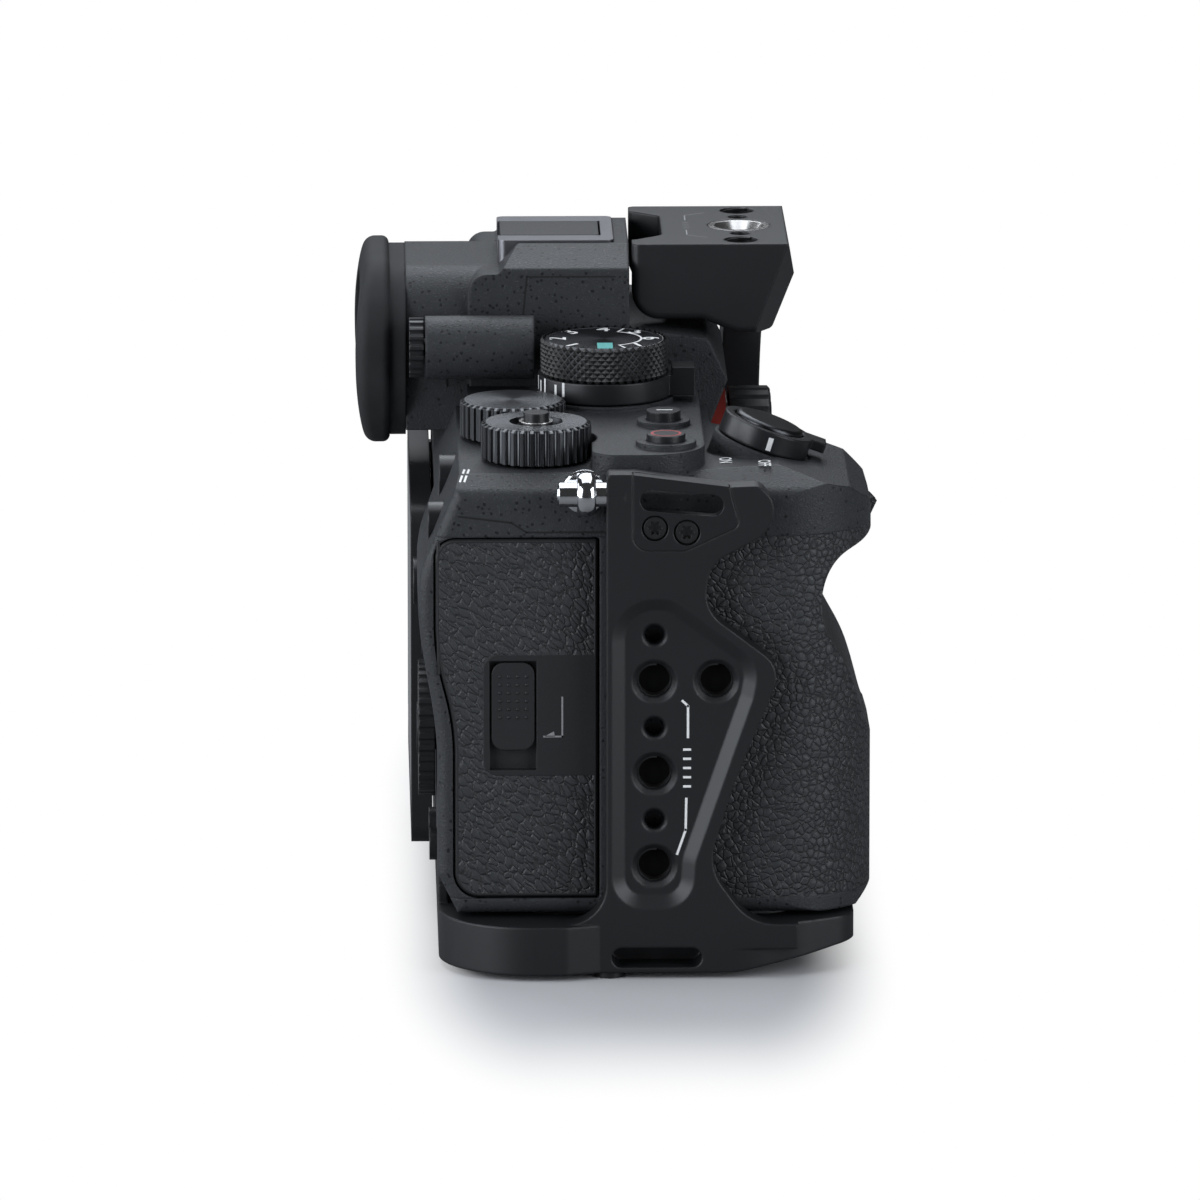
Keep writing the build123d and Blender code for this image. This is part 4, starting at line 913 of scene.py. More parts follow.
class Dots(GeometryTree):
    """A grid of small round studs."""

    def __init__(self) -> None:
        """Writes the tree."""
        super().__init__("stud_grid", ("Columns", "Rows"), ("Across", "Up", "Size"))
        sockets = self.passed(Vertices_X="Columns", Vertices_Y="Rows")
        for socket, count, step in (("Size X", "Columns", "Across"), ("Size Y", "Rows", "Up")):
            sockets[socket] = (self.given(count) - 1.0) * self.given(step)
        grid = self.node("GeometryNodeMeshGrid", sockets=sockets)
        sphere = {"Segments": 10, "Rings": 6, "Radius": self.given("Size")}
        stud = self.node("GeometryNodeMeshUVSphere", sockets=sphere)
        self.close(self.node("GeometryNodeInstanceOnPoints", sockets={"Points": grid, "Instance": stud}))


class Helix(GeometryTree):
    """The ridge of a screw thread inside a hole."""

    def __init__(self) -> None:
        """Writes the tree."""
        super().__init__("thread_ridge", (), ("Radius", "Length", "Pitch", "Ridge"))
        spiral = self.passed(Start_Radius="Radius", End_Radius="Radius", Height="Length")
        spiral |= {"Resolution": 28, "Rotations": self.given("Length") / self.given("Pitch")}
        coil = self.node("GeometryNodeCurveSpiral", sockets=spiral)
        circle = {"Resolution": 4, "Radius": self.given("Ridge")}
        section = self.node("GeometryNodeCurvePrimitiveCircle", {"mode": "RADIUS"}, circle)
        sockets = {"Curve": coil, "Profile Curve": section, "Fill Caps": True}
        self.close(self.node("GeometryNodeCurveToMesh", sockets=sockets))


# ------------------------------------------------------------------ sub-assemblies
@dataclass
class CageParts:
    """The cage's own pieces: finishes, threads, screw heads and engraving."""

    thread_pitch: float = 1.27
    ridge: float = 0.32
    screw_radius: float = 2.03
    star_radius: float = 1.02
    star_lobe: float = 0.2
    star_depth: float = 0.7
    line_width: float = 0.38
    star_draft: float = 0.92
    star_cone: float = 0.15
    head_edge: float = 0.3
    head_steps: int = 72
    floor_gap: float = 0.15
    # how far the discs of painted shade reach into the bores' walls, and their thickness
    floor_size: float = 0.3
    thread_end: float = 0.2
    # the pin's dip, as shares of the radius and a depth, and its bevels
    pin_dip: Floats = (0.42, 0.5, 0.35)
    pin_front: float = 0.35
    pin_edge: float = 0.3
    # brackets beside the side threads, (X, Z)
    brackets: tuple[Path, ...] = (
        ((11.6, 44.1), (12.44, 43.3), (12.44, 38.25)),
        ((12.18, 28.15), (12.09, 23.1), (10.75, 19.2)),
    )
    ticks: Floats = (36.2, 34.7, 33.2, 31.7, 30.2)
    tick_x: float = 12.3
    tick_length: float = 0.9
    # the line on each half of the block, (X, Y), and the ticks between the two
    block_bracket: Path = ((17.2, 10.9), (14.0, 8.7), (14.0, 4.4))
    block_ticks: Floats = (-2.4, -0.8, 0.8, 2.4)
    block_tick: Pair = (13.6, 14.4)
    block_width: float = 0.22

    def build(self) -> None:
        """Builds and dresses everything."""
        dress(CAGE, "cage_frame", "left_upright", "top_block")
        dress(INSERT, "strap_insert")
        dress(SCREW, "base_stud", "base_screws", "block_screws")
        dress(PAD, "base_pad")
        dress(STEEL, "top_thread_insert", "camera_screw")
        self.lug()
        self.threads()
        self.bore_floors()
        self.screw_heads()
        self.engraving()
        self.block_marks()

    def lug(self) -> None:
        """The slotted bright pin that holds the camera's strap lug."""
        low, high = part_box("lug_pin")
        radius = (high.z - low.z) / 2 / MM - SLACK
        length = (high.x - low.x) / MM
        inner, outer, dip = self.pin_dip
        profile = [
            (0, dip),
            (radius * inner, dip),
            (radius * outer, 0.0),
            (radius - self.pin_front, 0.0),
            (radius, self.pin_edge),
            (radius, length - self.pin_edge),
            (radius - self.pin_edge, length),
            (0, length),
        ]
        centre = middle("lug_pin")
        pin = Shape().add(turned(profile, ROUND), seat_on((low.x / MM, centre.y, centre.z), FORWARD))
        pin.piece("lug_pin_turned", CHROME, "cage", replaces=("lug_pin",))

    def threads(self) -> None:
        """Ridges in every threaded hole of the record."""
        helix = Helix()
        black, bright = Shape(), Shape()
        for mount in frame["record"]["mounts"]:
            if mount["kind"] != "threaded_hole":
                continue
            radius, length = mount["dims"]["r_mm"], mount["dims"]["length_mm"]
            axis = Vector(mount["axis"])
            start = Vector(mount["pos_m"]) / MM
            # a thread of the base is placed by its mouth at height 0, another one by its middle
            at_mouth = math.isclose(start.z, 0.0, abs_tol=SLACK)
            start -= axis * (length if at_mouth else length / 2)
            ridge = helix.make(
                SCREW,
                Radius=radius - SLACK,
                Length=length - self.thread_end,
                Pitch=self.thread_pitch,
                Ridge=self.ridge,
            )
            (bright if mount["name"] == "top_thread" else black).add(ridge, seat_on(start, axis))
        black.piece("thread_ridges", SCREW, "cage")
        bright.piece("insert_thread_ridge", STEEL, "cage")

    def bore_floors(self) -> None:
        """Black discs at the bottoms of the threads in the side plate: painted shade in the bores."""
        shade_discs = Shape()
        thick = self.floor_size
        for mount in frame["record"]["mounts"]:
            if mount["name"].startswith("side_thread"):
                radius, length = mount["dims"]["r_mm"] + thick, mount["dims"]["length_mm"]
                axis = Vector(mount["axis"])
                start = Vector(mount["pos_m"]) / MM - axis * (length / 2 + self.floor_gap)
                floor = turned([(0, 0), (radius, 0), (radius, thick), (0, thick)], SMALL)
                shade_discs.add(floor, seat_on(start, axis))
        shade_discs.piece("thread_bottoms", BORE_SHADE, "cage")

    def screw_heads(self) -> None:
        """Flat heads with six-lobed sockets in the strap insert."""
        low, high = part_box("strap_screws")
        back = high.y / MM
        thick, radius = back - low.y / MM, self.screw_radius
        floor = thick - self.star_depth

        def lobe(number: int, angle: float) -> float:
            """The socket's lobes, at its mouth and its floor."""
            return self.star_lobe * math.cos(6 * angle) if number in (4, 5) else 0.0

        profile = [
            (0, 0),
            (radius, 0),
            (radius, thick - self.head_edge),
            (radius - self.head_edge, thick),
            (self.star_radius, thick),
            (self.star_radius * self.star_draft, floor),
            (0, floor - self.star_cone),
        ]
        head = turned(profile, self.head_steps, lobe)
        heads = Shape()
        reach = radius + SLACK
        for x, z in ((low.x / MM + reach, high.z / MM - reach), (high.x / MM - reach, low.z / MM + reach)):
            heads.add(head, seat_on((x, back, z), -INTO))
        heads.piece("strap_screw_heads", SCREW, "cage", replaces=("strap_screws",))

    def engraving(self) -> None:
        """White lines beside the threads, with plain ticks between them."""
        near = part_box("cage_frame")[0].y / MM - APPROACH
        half = self.tick_length / 2
        ticks = [((self.tick_x - half, z), (self.tick_x + half, z)) for z in self.ticks]
        marks = Stamp("cage_frame").side_lines([*self.brackets, *ticks], self.line_width, near, INTO)
        marks.piece("plate_lines", WHITE, "cage")

    def block_marks(self) -> None:
        """Thin lines on top of the block."""
        stamp = Stamp("top_block")
        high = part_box("top_block")[1].z / MM + APPROACH
        paths = [[(x, y * side) for x, y in self.block_bracket] for side in (-1, 1)]
        paths += [[(x, y) for x in self.block_tick] for y in self.block_ticks]
        marks = Shape()
        for path in paths:
            marks.add(stamp.line([Vector((x, y, high)) for x, y in path], self.block_width, DOWN, DOWN))
        marks.piece("block_lines", GREY, "cage")


@dataclass
class FlutedWheel:
    """A wheel with grooves round its rim."""

    node: str
    ribs: int
    depth: float
    thick: float
    beyond: float = 0.0
    bore: float = 0.0
    dish: float = 0.0
    well: float = 0.0
    well_bevel: float = 0.2
    edge: float = 0.45
    groove: float = 0.66
    # the rim's rounding at foot and top: a share of the depth inwards, and of the edge along the axis
    foot_round: Pair = (0.6, 0.7)
    top_round: Pair = (0.5, 0.8)
    rib_steps: int = 12
    # the spun face: how deep it starts, and its bevel
    skin: float = 0.1
    skin_bevel: float = 0.05
    finish: Finish = FLUTES

    def rim(self, number: int, angle: float) -> float:
        """Round grooves in the rim's two profile points, by number and angle."""
        near = abs((angle * self.ribs / TURN) % 1.0 - 0.5) / (self.groove / 2)
        return -self.depth * math.sqrt(1 - near**2) if near < 1 and number in (2, 3) else 0.0

    def build(self) -> None:
        """Builds the wheel in place of its node."""
        origin, axis, _, high, radius = Spindle(self.node, self.node + "_turn").facts()
        seat = seat_on(origin, axis)
        top = high - self.beyond
        low, floor, outer = top - self.thick, top - self.dish, radius - SLACK
        outside = outer - self.edge - self.depth * self.top_round[0]
        bevel = self.well_bevel if self.bore else self.well_bevel / 2
        lip = max(self.bore, self.well) if self.bore else outer / 2 - bevel
        profile = [
            (self.bore, low),
            (outer - self.edge - self.depth * self.foot_round[0], low),
            (outer, low + self.edge * self.foot_round[1]),
            (outer, top - self.edge * self.top_round[1]),
            (outside, top),
            (lip + bevel, top),
            (lip, floor),
            (self.bore, floor),
        ]
        inner = lip if self.bore else 0.0
        under, over = top - self.skin, top + SLACK
        face = [(inner, under), (outside, under), (outside - self.skin_bevel, over), (inner, over)]
        if self.bore:
            profile.append(profile[0])
            face.append(face[0])
        wheel = Shape().add(turned(profile, self.ribs * self.rib_steps, self.rim), seat)
        wheel.piece(self.node + "_wheel", self.finish, self.node, replaces=(self.node,))
        spun = Spun(f"{self.node}_spun", "control", 0.05, centre=tuple(origin), axis=tuple(axis))
        Shape().add(turned(face, FINE), seat).piece(self.node + "_face", spun, self.node)


@dataclass
class ModeDial:
    """The locked dial beside the hump: knurled rim, spun top, plain numbers."""

    points_round: int = 48
    rows: int = 8
    point_height: float = 0.42
    cap: float = 5.6
    steps: int = 160
    number_radius: float = 7.6
    number_height: float = 3.2
    angles: Floats = (225, 180, 135, 90, 45, 0, -45)
    # outline of foot and top: how far in from the core, and how far along the axis
    foot: Path = ((0.5, 0.0), (0.0, 0.35))
    top: Path = ((0.0, 0.7), (0.1, 0.35), (0.65, 0.0), (1.1, 0.0), (1.2, 0.08))
    knurl_margin: float = 0.4
    knurl_sink: float = 0.04
    # the printed frame: first and last angle, inner and outer radius
    band: Floats = (-68, 68, 6.0, 9.35)
    band_width: float = 0.34
    # half the angle of the frame's ends
    band_end: float = 1.25
    index_bar: Pair = (3.7, 9.2)
    index_half: float = 1.25

    def build(self) -> None:
        """Builds the dial and its marks."""
        origin, axis, _, high, radius = Spindle("mode_dial", "mode_dial_turn").facts()
        core = radius - self.point_height
        low = high - self.cap
        face = high - self.top[-1][1]
        finish = Spun(
            "mode_dial_spun",
            "control",
            0.1,
            centre=tuple(origin),
            axis=tuple(axis),
            base=(0.030, 0.031, 0.034),
        )
        seat = Matrix.Translation(origin)
        profile = [(0, low)]
        profile += [(core - inwards, low + up) for inwards, up in self.foot]
        profile += [(core - inwards, high - down) for inwards, down in self.top]
        profile.append((0, face))
        body = Shape().add(turned(profile, self.steps), seat)
        body.piece("mode_dial_body", finish, "mode_dial", replaces=("mode_dial",))
        pitch = (self.cap - 2 * self.knurl_margin) / (self.rows - 1)
        knurl = Rim().make(
            finish,
            Count=self.points_round,
            Rows=self.rows,
            Radius=core - self.knurl_sink,
            Floor=low + self.knurl_margin,
            Pitch=pitch,
            Size=pitch,
            Height=self.point_height,
        )
        rim_finish = Anodised("mode_rim", "control", 0.05, dark=(0.012,) * 3, light=(0.018,) * 3, gloss=0.3)
        Shape().add(knurl, seat).piece("mode_dial_knurl", rim_finish, "mode_dial", sharp=10.0)
        self.numbers(seat, face + SLACK)
        self.bar(seat, face + SLACK)

    def numbers(self, seat: Matrix, height: float) -> None:
        """Plain numbers round the top.

        Args:
            seat: The dial's place.
            height: Height of the top face.
        """
        marks = Shape()
        for number, degrees in enumerate(self.angles, start=1):
            angle = math.radians(degrees)
            spot = Vector((math.cos(angle), math.sin(angle), 0)) * self.number_radius
            turn = Matrix.Rotation(angle - math.pi / 2, 4, "Z")
            lifted = Matrix.Translation(spot + Vector((0, 0, height)))
            marks.add(lettering(str(number), self.number_height), lifted @ turn)
        start, end, inner, outer = self.band
        for radius in (inner, outer):
            marks.add(arc_band(radius, self.band_width, start, end, height))
        across = arc_band(
            (inner + outer) / 2, outer - inner + self.band_width, -self.band_end, self.band_end, height
        )
        for degrees in (start, end):
            marks.add(across, Matrix.Rotation(math.radians(degrees), 4, "Z"))
        Shape().add(marks, seat).piece("mode_dial_numbers", WHITE, "mode_dial")

    def bar(self, seat: Matrix, height: float) -> None:
        """The coloured bar at the rest position.

        Args:
            seat: The dial's place.
            height: Height of the top face.
        """
        near, far = self.index_bar
        half = self.index_half
        corners = ((-half, near), (-half, far), (half, far), (half, near))
        bar = Shape([Vector((x, -y, height)) for x, y in corners], [(0, 1, 2, 3)])
        Shape().add(bar, seat).piece("mode_dial_bar", TEAL, "mode_dial")


def lettering(words: str, height: float) -> Shape:
    """Flat characters about the origin.

    Args:
        words: The characters.
        height: Their height.

    Returns:
        The shape.
    """
    curve = bpy.data.curves.new("lettering", "FONT")
    curve.body = words
    size_share, weight_share = 1.4, 0.02
    curve.size, curve.offset = height * size_share, height * weight_share
    curve.align_x, curve.align_y = "CENTER", "CENTER"
    curve.resolution_u = 4
    return evaluated(placed("lettering", curve))


def arc_band(radius: float, width: float, start: float, end: float, height: float) -> Shape:
    """A flat band along an arc, seen from above.

    Args:
        radius: Radius of its middle.
        width: Its width.
        start: First angle in degrees.
        end: Last angle in degrees.
        height: Its height.

    Returns:
        The shape.
    """
    steps = max(6, int(abs(end - start) / ARC_STEP))
    shape = Shape()
    for step in range(steps + 1):
        angle = math.radians(start + (end - start) * step / steps)
        for reach in (radius - width / 2, radius + width / 2):
            shape.points.append(Vector((reach * math.cos(angle), reach * math.sin(angle), height)))
    shape.faces = [(2 * k, 2 * k + 1, 2 * k + 3, 2 * k + 2) for k in range(steps)]
    return shape


@dataclass
class TopControls:
    """Wheels, buttons and marks on the camera's top."""

    record_ring: float = 2.25
    record_width: float = 0.45
    digit_height: float = 2.6
    # words and where the side view shows them, (X, Z)
    switch_words: tuple = (("ON", 18.1, 86.0), ("OFF", 24.3, 85.5))
    word_height: float = 2.0
    word_lift: float = 0.12
    power_line: Path = ((25.45, 89.3), (24.75, 87.0))
    power_width: float = 0.8
    # the collar's ticks: angles, heights of their ends, how much shorter every second one is
    collar_ticks: Floats = (188.0, 197.0, 206.0, 222.0, 231.0)
    collar_heights: Floats = (85.3, 87.1, 0.5)
    collar_reach: float = 16.0
    collar_width: float = 0.5
    # the washer's inner and outer radius, and how deep it starts and how high it stands
    washer: Pair = (2.15, 2.75)
    washer_heights: Pair = (0.7, 0.15)

    def build(self) -> None:
        """Builds and dresses everything."""
        dress(BUTTON, "mode_selector", "dial_lock_button", "c1_button", "rec_button", "diopter_wheel")
        ModeDial().build()
        FlutedWheel("rear_dial_left", 36, 0.42, 6.0).build()
        FlutedWheel("rear_dial_right", 34, 0.5, 6.0, bore=2.4, dish=0.9, well=4.3).build()
        FlutedWheel("front_dial", 24, 0.7, 4.6, beyond=2.2, finish=WHEEL_BLACK).build()
        self.turret()
        self.deck_marks()
        self.collar_marks()
        self.lock_washer()

    def collar_marks(self) -> None:
        """Plain ticks round the selector's collar."""
        stamp = Stamp("mode_selector")
        centre = Vector(joint_named("mode_selector_turn")["pos_m"]) / MM
        low, high, less = self.collar_heights
        marks = Shape()
        for number, degrees in enumerate(self.collar_ticks):
            out = Vector((math.cos(math.radians(degrees)), math.sin(math.radians(degrees)), 0))
            foot = centre + out * self.collar_reach
            ends = [Vector((foot.x, foot.y, z)) for z in (low, high - less * (number % 2))]
            marks.add(stamp.line(ends, self.collar_width, -out, -out))
        marks.piece("selector_ticks", WHITE, "mode_selector")

    def lock_washer(self) -> None:
        """Bright washer round the lock button's foot."""
        centre = middle("dial_lock_button")
        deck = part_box("rear_dial_right")[1].z / MM
        inner, outer = self.washer
        low, high = deck - self.washer_heights[0], deck + self.washer_heights[1]
        ring = turned([(inner, low), (outer, low), (outer, high), (inner, high), (inner, low)], ROUND)
        ring = Shape().add(ring, Matrix.Translation((centre.x, centre.y, 0)))
        ring.piece("lock_washer", STEEL, "cage")

    def turret(self) -> None:
        """The power ring and the button in it."""
        dress(Moulded("power_ring_satin", "control", 0.5, gloss=0.3), "power_ring")
        metal = BareMetal("shutter_metal", "button", 0.5, base=(0.055, 0.056, 0.060), gloss=0.26)
        dress(metal, "shutter_button")
        mark = Stamp("power_ring").side_lines((self.power_line,), self.power_width, NEAR, SIDE_LOOK)
        mark.piece("power_index", WHITE, "power_ring")
        deck = Stamp("camera_top_cover", lift=self.word_lift)
        words = Shape()
        for word, x, z in self.switch_words:
            words.add(deck.drape(lettering(word, self.word_height), -90.0, Vector((x, NEAR, z))))
        words.piece("switch_words", WHITE, "cage")

    def deck_marks(self) -> None:
        """Ring of the record button, and the number of the button beside it."""
        ring = Shape().add(arc_band(self.record_ring, self.record_width, 0, 360, 0), on_top("rec_button"))
        ring.piece("record_ring", RED, "rec_button")
        seat = on_top("c1_button") @ Matrix.Rotation(-math.pi / 2, 4, "Z")
        digit = Shape().add(lettering("1", self.digit_height), seat)
        digit.piece("button_number", WHITE, "c1_button")


@dataclass
class CameraBody:
    """The camera's covers, grip, doors and back."""

    # the latch's studs: columns and rows, steps, radius, how far they sink in, how far up they sit
    stud_count: tuple[int, int] = (4, 6)
    stud_pitch: Pair = (1.41, 1.33)
    stud_size: float = 0.32
    stud_sink: float = 0.12
    stud_rise: float = 1.5
    # the slope low on the grip's front: a point (X, Z), its lean, and where it ends
    grip_slope: Floats = (41.45, 37.39, 0.315, 48.0)
    # the arrow's line (X, Z), and its head about the line's end
    arrow: Path = ((-7.5, 43.95), (-7.5, 37.6), (-10.4, 37.6))
    arrow_width: float = 0.28
    arrow_head: Path = ((0, 0), (1.7, 0), (1.6, 0.75), (1.5, 0.8))
    # seams: a name, the nodes that carry them, and the lines (X, Z)
    seam_width: float = 0.3
    seam_lines: tuple = (
        (
            "top_cover_seam",
            ("camera_top_cover", "camera_rear_cover", "camera_front_cover"),
            (((-0.8, 74.4), (-13.5, 74.4), (-15.9, 75.98), (-24.2, 77.0)),),
        ),
        (
            "hump_seams",
            ("camera_hump",),
            (
                ((-13.7, 117.05), (3.5, 117.05)),
                ((-13.7, 117.05), (-14.4, 109.7)),
                ((-26.6, 109.5), (-26.6, 99.1)),
            ),
        ),
    )
    # the two bars of the deck's mark
    deck_bar: Path = ((-23.1, 84.6), (-23.7, 82.8))
    deck_shifts: Pair = (-0.35, 0.35)
    deck_width: float = 0.34
    # strap lugs: node, side, and Y of the body's side face
    lugs: tuple = (("strap_lug_right", -1, -78.1), ("strap_lug_left", 1, 53.2))
    lug_slack: float = 0.1
    eyelet_round: float = 0.55
    eyelet_steps: int = 12
    # neck: radius and length; foot: height of its edge, its height, its bevel
    lug_neck: Pair = (1.3, 3.2)
    lug_foot: Floats = (0.35, 0.6, 0.3)
    lug_sink: float = 0.2

    def build(self) -> None:
        """Builds and dresses everything."""
        covers = ("front_cover", "rear_cover", "top_cover", "bottom_plate", "hump")
        dress(SHELL, *("camera_" + name for name in covers))
        self.grip_moulding()
        dress(DOOR_LEATHER, "door_leather")
        dress(DOOR_PAINT, "card_door", "door_latch", "battery_door", "port_cover_upper", "port_cover_lower")
        dress(PLASTIC, "monitor", "monitor_hinge", "body_cap", "shoe_cover")
        self.strap_lugs()
        dress(RING_RED, "mount_ring")
        dress(FLANGE, "lens_flange")
        dress(SHOE, "hot_shoe")
        dress(EYE_RUBBER, "eyecup")
        dress(SCREEN, "monitor_screen")
        dress(EYE_GLASS, "eyepiece_glass")
        dress(BUTTON, "joystick", "control_wheel")
        buttons = ("lens_release", "centre", "af_on", "ael", "menu", "c3", "fn", "play", "delete")
        dress(BUTTON, *(name + "_button" for name in buttons))
        self.latch_studs()
        self.door_arrow()
        self.seams()

    def grip_moulding(self) -> None:
        """The grip with an even slope low on its front."""
        made = bmesh.new()
        made.from_mesh(frame["nodes"]["camera_grip"].data)
        bmesh.ops.remove_doubles(made, verts=made.verts, dist=1e-7)
        x, z, lean, ceiling = self.grip_slope
        faces = [face for face in made.faces if all(vertex.co.z < ceiling * MM for vertex in face.verts)]
        edges = dict.fromkeys(edge for face in faces for edge in face.edges)
        corners = dict.fromkeys(vertex for face in faces for vertex in face.verts)
        bmesh.ops.bisect_plane(
            made,
            geom=[*corners, *edges, *faces],
            dist=1e-8,
            plane_co=Vector((x, 0, z)) * MM,
            plane_no=Vector((1.0, 0, lean)).normalized(),
            clear_outer=True,
        )
        rim = [edge for edge in made.edges if edge.is_boundary]
        bmesh.ops.triangle_fill(made, edges=rim, use_beauty=True)
        log.info("grip: %d open edges", sum(not edge.is_manifold for edge in made.edges))
        bmesh.ops.recalc_face_normals(made, faces=made.faces)
        mesh = bpy.data.meshes.new("grip_moulding")
        made.to_mesh(mesh)
        made.free()
        mesh.shade_flat()
        settle(mesh, GRIP, "cage", ("camera_grip",))

    def strap_lugs(self) -> None:
        """Round bright eyelets on round bases."""
        neck_radius, neck_length = self.lug_neck
        edge, tall, bevel = self.lug_foot
        neck = turned([(0, 0), (neck_radius, 0), (neck_radius, neck_length), (0, neck_length)], SMALL)
        for node, side, face in self.lugs:
            low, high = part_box(node)
            centre, outward = middle(node), INTO * side
            half, thick = (high.z - low.z) / 2 / MM, (high.x - low.x) / 2 / MM - self.lug_slack
            bulge = thick * self.eyelet_round
            profile = [(0, -thick)]
            for step in range(self.eyelet_steps + 1):
                angle = -math.pi / 2 + math.pi * step / self.eyelet_steps
                profile.append((half - bulge + bulge * math.cos(angle), thick * math.sin(angle)))
            profile.append((0, thick))
            seat_y = (low.y if side < 0 else high.y) / MM - side * half
            eyelet = Shape().add(turned(profile, FINE), seat_on((centre.x, seat_y, centre.z), FORWARD))
            eyelet.add(neck, seat_on((centre.x, face + side * self.lug_sink, centre.z), outward))
            foot = turned([(0, 0), (half, 0), (half, edge), (half - bevel, tall), (0, tall)], ROUND)
            shift = self.lug_sink / 2
            spot = (centre.x - self.lug_sink, face - side * shift, centre.z - shift)
            eyelet.add(foot, seat_on(spot, outward))
            eyelet.piece(node + "_eyelet", CHROME, "cage", replaces=(node,))

    def seams(self) -> None:
        """Fine joints between the covers' mouldings, and a small plain mark."""
        for name, nodes, paths in self.seam_lines:
            marks = Stamp(*nodes).side_lines(paths, self.seam_width, NEAR, SIDE_LOOK)
            marks.piece(name, SEAM, "cage")
        bars = [[(x + shift, z) for x, z in self.deck_bar] for shift in self.deck_shifts]
        stamp = Stamp("camera_top_cover", "camera_rear_cover")
        stamp.side_lines(bars, self.deck_width, NEAR, SIDE_LOOK).piece("deck_mark", WHITE, "cage")

    def latch_studs(self) -> None:
        """Rows of studs on the latch."""
        columns, rows = self.stud_count
        across, up = self.stud_pitch
        studs = Dots().make(
            DOOR_PAINT, Columns=columns, Rows=rows, Across=across, Up=up, Size=self.stud_size
        )
        centre, front = middle("door_latch"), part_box("door_latch")[0].y / MM
        seat = seat_on((centre.x, front + self.stud_sink, centre.z + self.stud_rise), -INTO)
        Shape().add(studs, seat).piece("latch_studs", DOOR_PAINT, "door_latch")

    def door_arrow(self) -> None:
        """A plain arrow that shows which way the latch goes."""
        stamp = Stamp("card_door")
        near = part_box("card_door")[0].y / MM - APPROACH
        marks = stamp.side_lines((self.arrow,), self.arrow_width, near, INTO)
        tip = Vector((self.arrow[-1][0], near, self.arrow[-1][1]))
        head = [tip + Vector((x, 0, z)) for x, z in self.arrow_head]
        marks.add(stamp.patch(head, INTO, 3))
        marks.piece("door_arrow", GREY, "card_door")


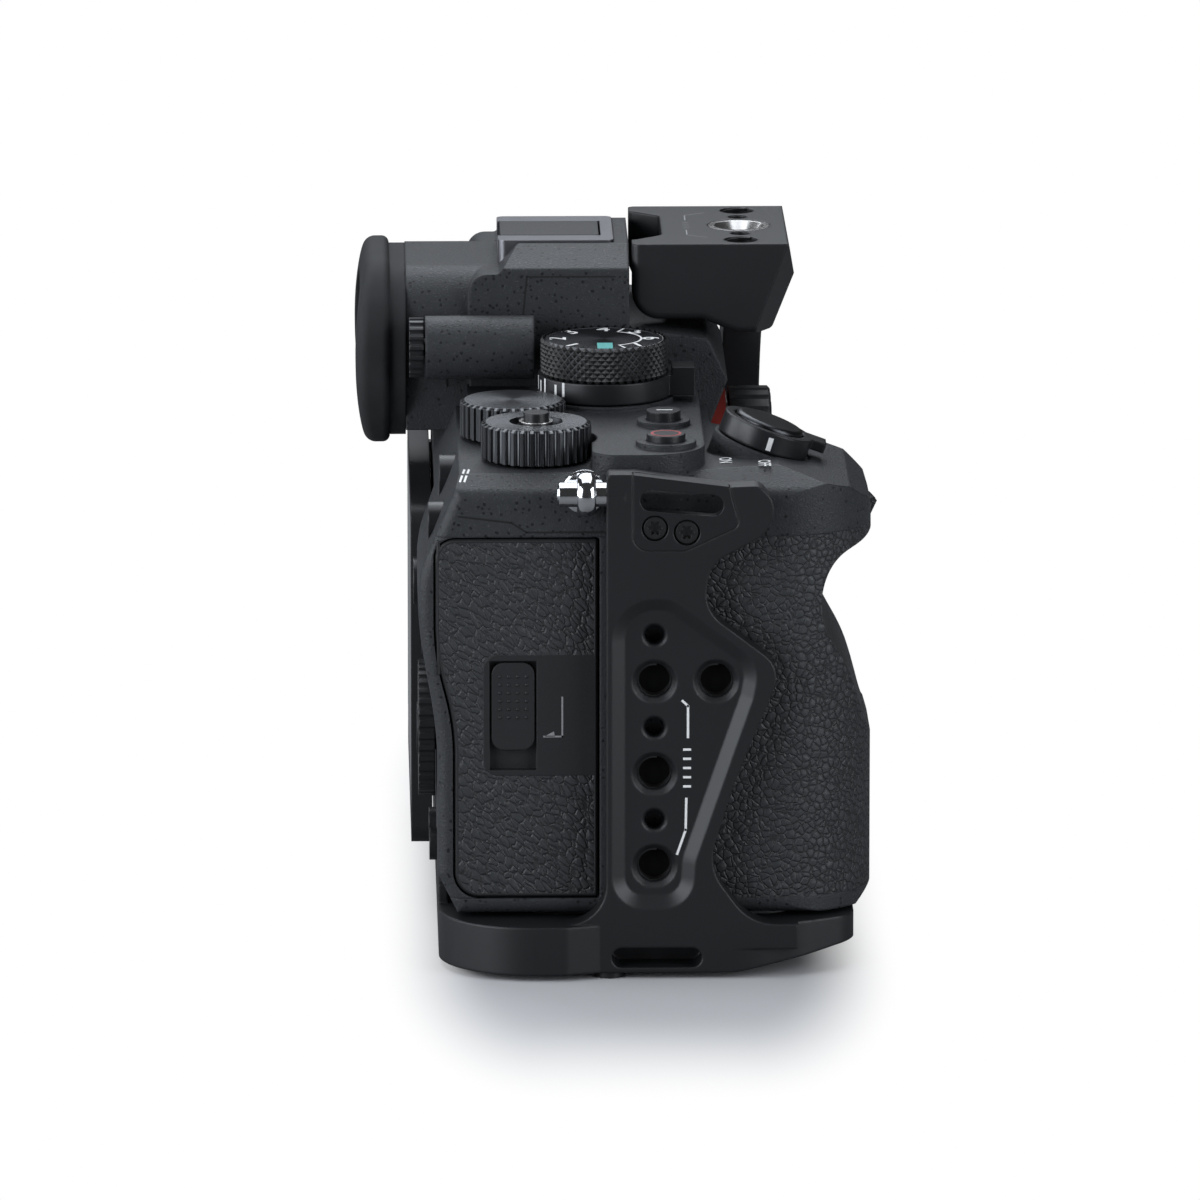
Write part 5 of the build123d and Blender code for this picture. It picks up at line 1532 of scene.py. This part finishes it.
# ------------------------------------------------------------------ stage
@dataclass
class Stage:
    """Floor, world, lamps and the camera."""

    lens: float = 453.6
    distance: float = 2400.0
    azimuth: float = -1.1
    elevation: float = 12.0
    target: Point = (-1.587, -83.0, 60.85)
    sensor: float = 36.0
    clip: Pair = (0.05, 20.0)
    floor_drop: float = 0.05
    floor_half: float = 4000.0
    # grey of the floor in the painted shadow zone, lit by the lamps
    floor_lit: Colour = (0.52, 0.52, 0.53)
    # what the object's glossy surfaces see of the floor, and by which share
    floor_dull: Colour = (0.04, 0.04, 0.04)
    floor_dulled: float = 0.7
    # the painted shadow's box, inside which the floor shows its grey lit colour with the lamps' real shadow and
    # outside which it glows white: its middle and half sides, how fast the shadow fades outside it along X and Y,
    # and the reaches between which it fades
    shadow_centre: Pair = (5.0, -10.0)
    shadow_half: Pair = (16.0, 65.0)
    shadow_fall: Pair = (3.5, 1.0)
    shadow_reach: Pair = (30.0, 90.0)
    # the world's strength in reflections, through clear things and as a light
    world_shares: Floats = (0.04, 0.55, 0.05)
    lamp_colour: Colour = (0.93, 0.975, 1.03)
    # name, place, sides, watts, and where it points
    lamps: tuple = (
        ("top_softbox", (0, 60, 620), (560, 560), 2.3, (0, -10, 50)),
        ("top_back", (-100, 420, 560), (640, 440), 2.6, (0, 0, 60)),
        ("left_side", (-640, 0, 200), (400, 400), 1.8, (0, -40, 60)),
        ("left_front", (-560, -460, 260), (460, 560), 4.2, (0, -60, 50)),
        ("right_front", (560, -480, 260), (420, 540), 3.2, (0, -60, 50)),
    )

    def build(self) -> None:
        """Builds everything."""
        bpy.context.scene.view_settings.view_transform = "Standard"
        self.floor()
        self.world()
        for lamp in self.lamps:
            self.lamp(*lamp)
        self.camera()

    def floor(self) -> None:
        """A wide white floor that keeps the object's shadow, in a painted grey zone round the object where the
        lamps' real shadow also shows.
        """
        height, half = CAD_BOX[0].z - self.floor_drop * MM, self.floor_half * MM
        corners = [(x * half, y * half, height) for x, y in ((-1, -1), (1, -1), (1, 1), (-1, 1))]
        mesh = bpy.data.meshes.new("floor")
        mesh.from_pydata(corners, [], [(0, 1, 2, 3)])
        floor = placed("floor", mesh)
        made = bpy.data.materials.new("floor_white")
        w = cleared(made)
        lit, dull = (
            w.node("ShaderNodeBsdfDiffuse", sockets={"Color": (*colour, 1.0)})
            for colour in (self.floor_lit, self.floor_dull)
        )
        glow = w.node("ShaderNodeEmission", sockets={"Color": (1, 1, 1, 1), "Strength": 1.0})
        split = w.node("ShaderNodeSeparateXYZ", sockets={0: w.place()})
        squares = [
            (((along - centre).math("ABSOLUTE") - half).math("MAXIMUM", 0.0) * fall).math("POWER", 2.0)
            for along, centre, half, fall in zip(
                (split, split.also("Y")), self.shadow_centre, self.shadow_half, self.shadow_fall
            )
        ]
        reach = (squares[0] + squares[1]).math("SQRT")
        ray = w.node("ShaderNodeLightPath", output="Is Camera Ray")
        dulled = ray.also("Is Glossy Ray") * self.floor_dulled
        diffuse = w.node("ShaderNodeMixShader", sockets={0: dulled, 1: lit, 2: dull})
        # painted shadow: the floor is grey within the shadow's box and glows white beyond it
        share = reach.between(*self.shadow_reach) * ray
        w.node_output(w.node("ShaderNodeMixShader", sockets={0: share, 1: diffuse, 2: glow}))
        mesh.materials.append(made)

    def world(self) -> None:
        """White to the eye, and dim in reflections and as a light."""
        world = bpy.data.worlds.new("studio")
        bpy.context.scene.world = world
        w = cleared(world)
        ray = w.node("ShaderNodeLightPath", output="Is Camera Ray")
        glossy, through = ray.also("Is Glossy Ray"), ray.also("Is Transmission Ray")
        light = 1.0 - (ray + glossy + through).math("MINIMUM", 1.0)
        shares = self.world_shares
        strength = ray + glossy * shares[0] + through * shares[1] + light * shares[2]
        back = w.node("ShaderNodeBackground", sockets={"Color": (1, 1, 1, 1), "Strength": strength})
        end = w.tree.nodes.new("ShaderNodeOutputWorld")
        w.tree.links.new(back.socket, end.inputs["Surface"])

    def lamp(self, name: str, spot: Point, size: Pair, power: float, aim: Point) -> None:
        """Adds an area lamp.

        Args:
            name: Its name.
            spot: Its place in millimetres.
            size: Its two sides in millimetres.
            power: Its power in watts.
            aim: Where it points.
        """
        data = bpy.data.lights.new(name, "AREA")
        data.shape = "RECTANGLE"
        data.size, data.size_y = size[0] * MM, size[1] * MM
        data.energy = power
        data.color = self.lamp_colour
        lamp = placed(name, data)
        lamp.location = Vector(spot) * MM
        lamp.rotation_mode = "QUATERNION"
        lamp.rotation_quaternion = (Vector(aim) - Vector(spot)).to_track_quat("-Z", "Y")

    def camera(self) -> None:
        """The camera of the side view."""
        a, e = math.radians(self.azimuth), math.radians(self.elevation)
        back = Vector((math.sin(a) * math.cos(e), -math.cos(a) * math.cos(e), math.sin(e)))
        data = bpy.data.cameras.new("side_camera")
        data.lens, data.sensor_width = self.lens, self.sensor
        data.clip_start, data.clip_end = self.clip
        camera = placed("side_camera", data)
        camera.location = (Vector(self.target) + back * self.distance) * MM
        camera.rotation_mode = "QUATERNION"
        camera.rotation_quaternion = (-back).to_track_quat("-Z", "Y")
        bpy.context.scene.camera = camera


def main() -> None:
    """Builds the sub-assemblies in order and logs each one's name."""
    logging.basicConfig(level=logging.INFO, format="%(name)s: %(message)s")
    for part in (CageParts(), TopControls(), CameraBody(), Stage()):
        log.info("building %s", type(part).__name__)
        part.build()


if __name__ == "__main__":
    main()
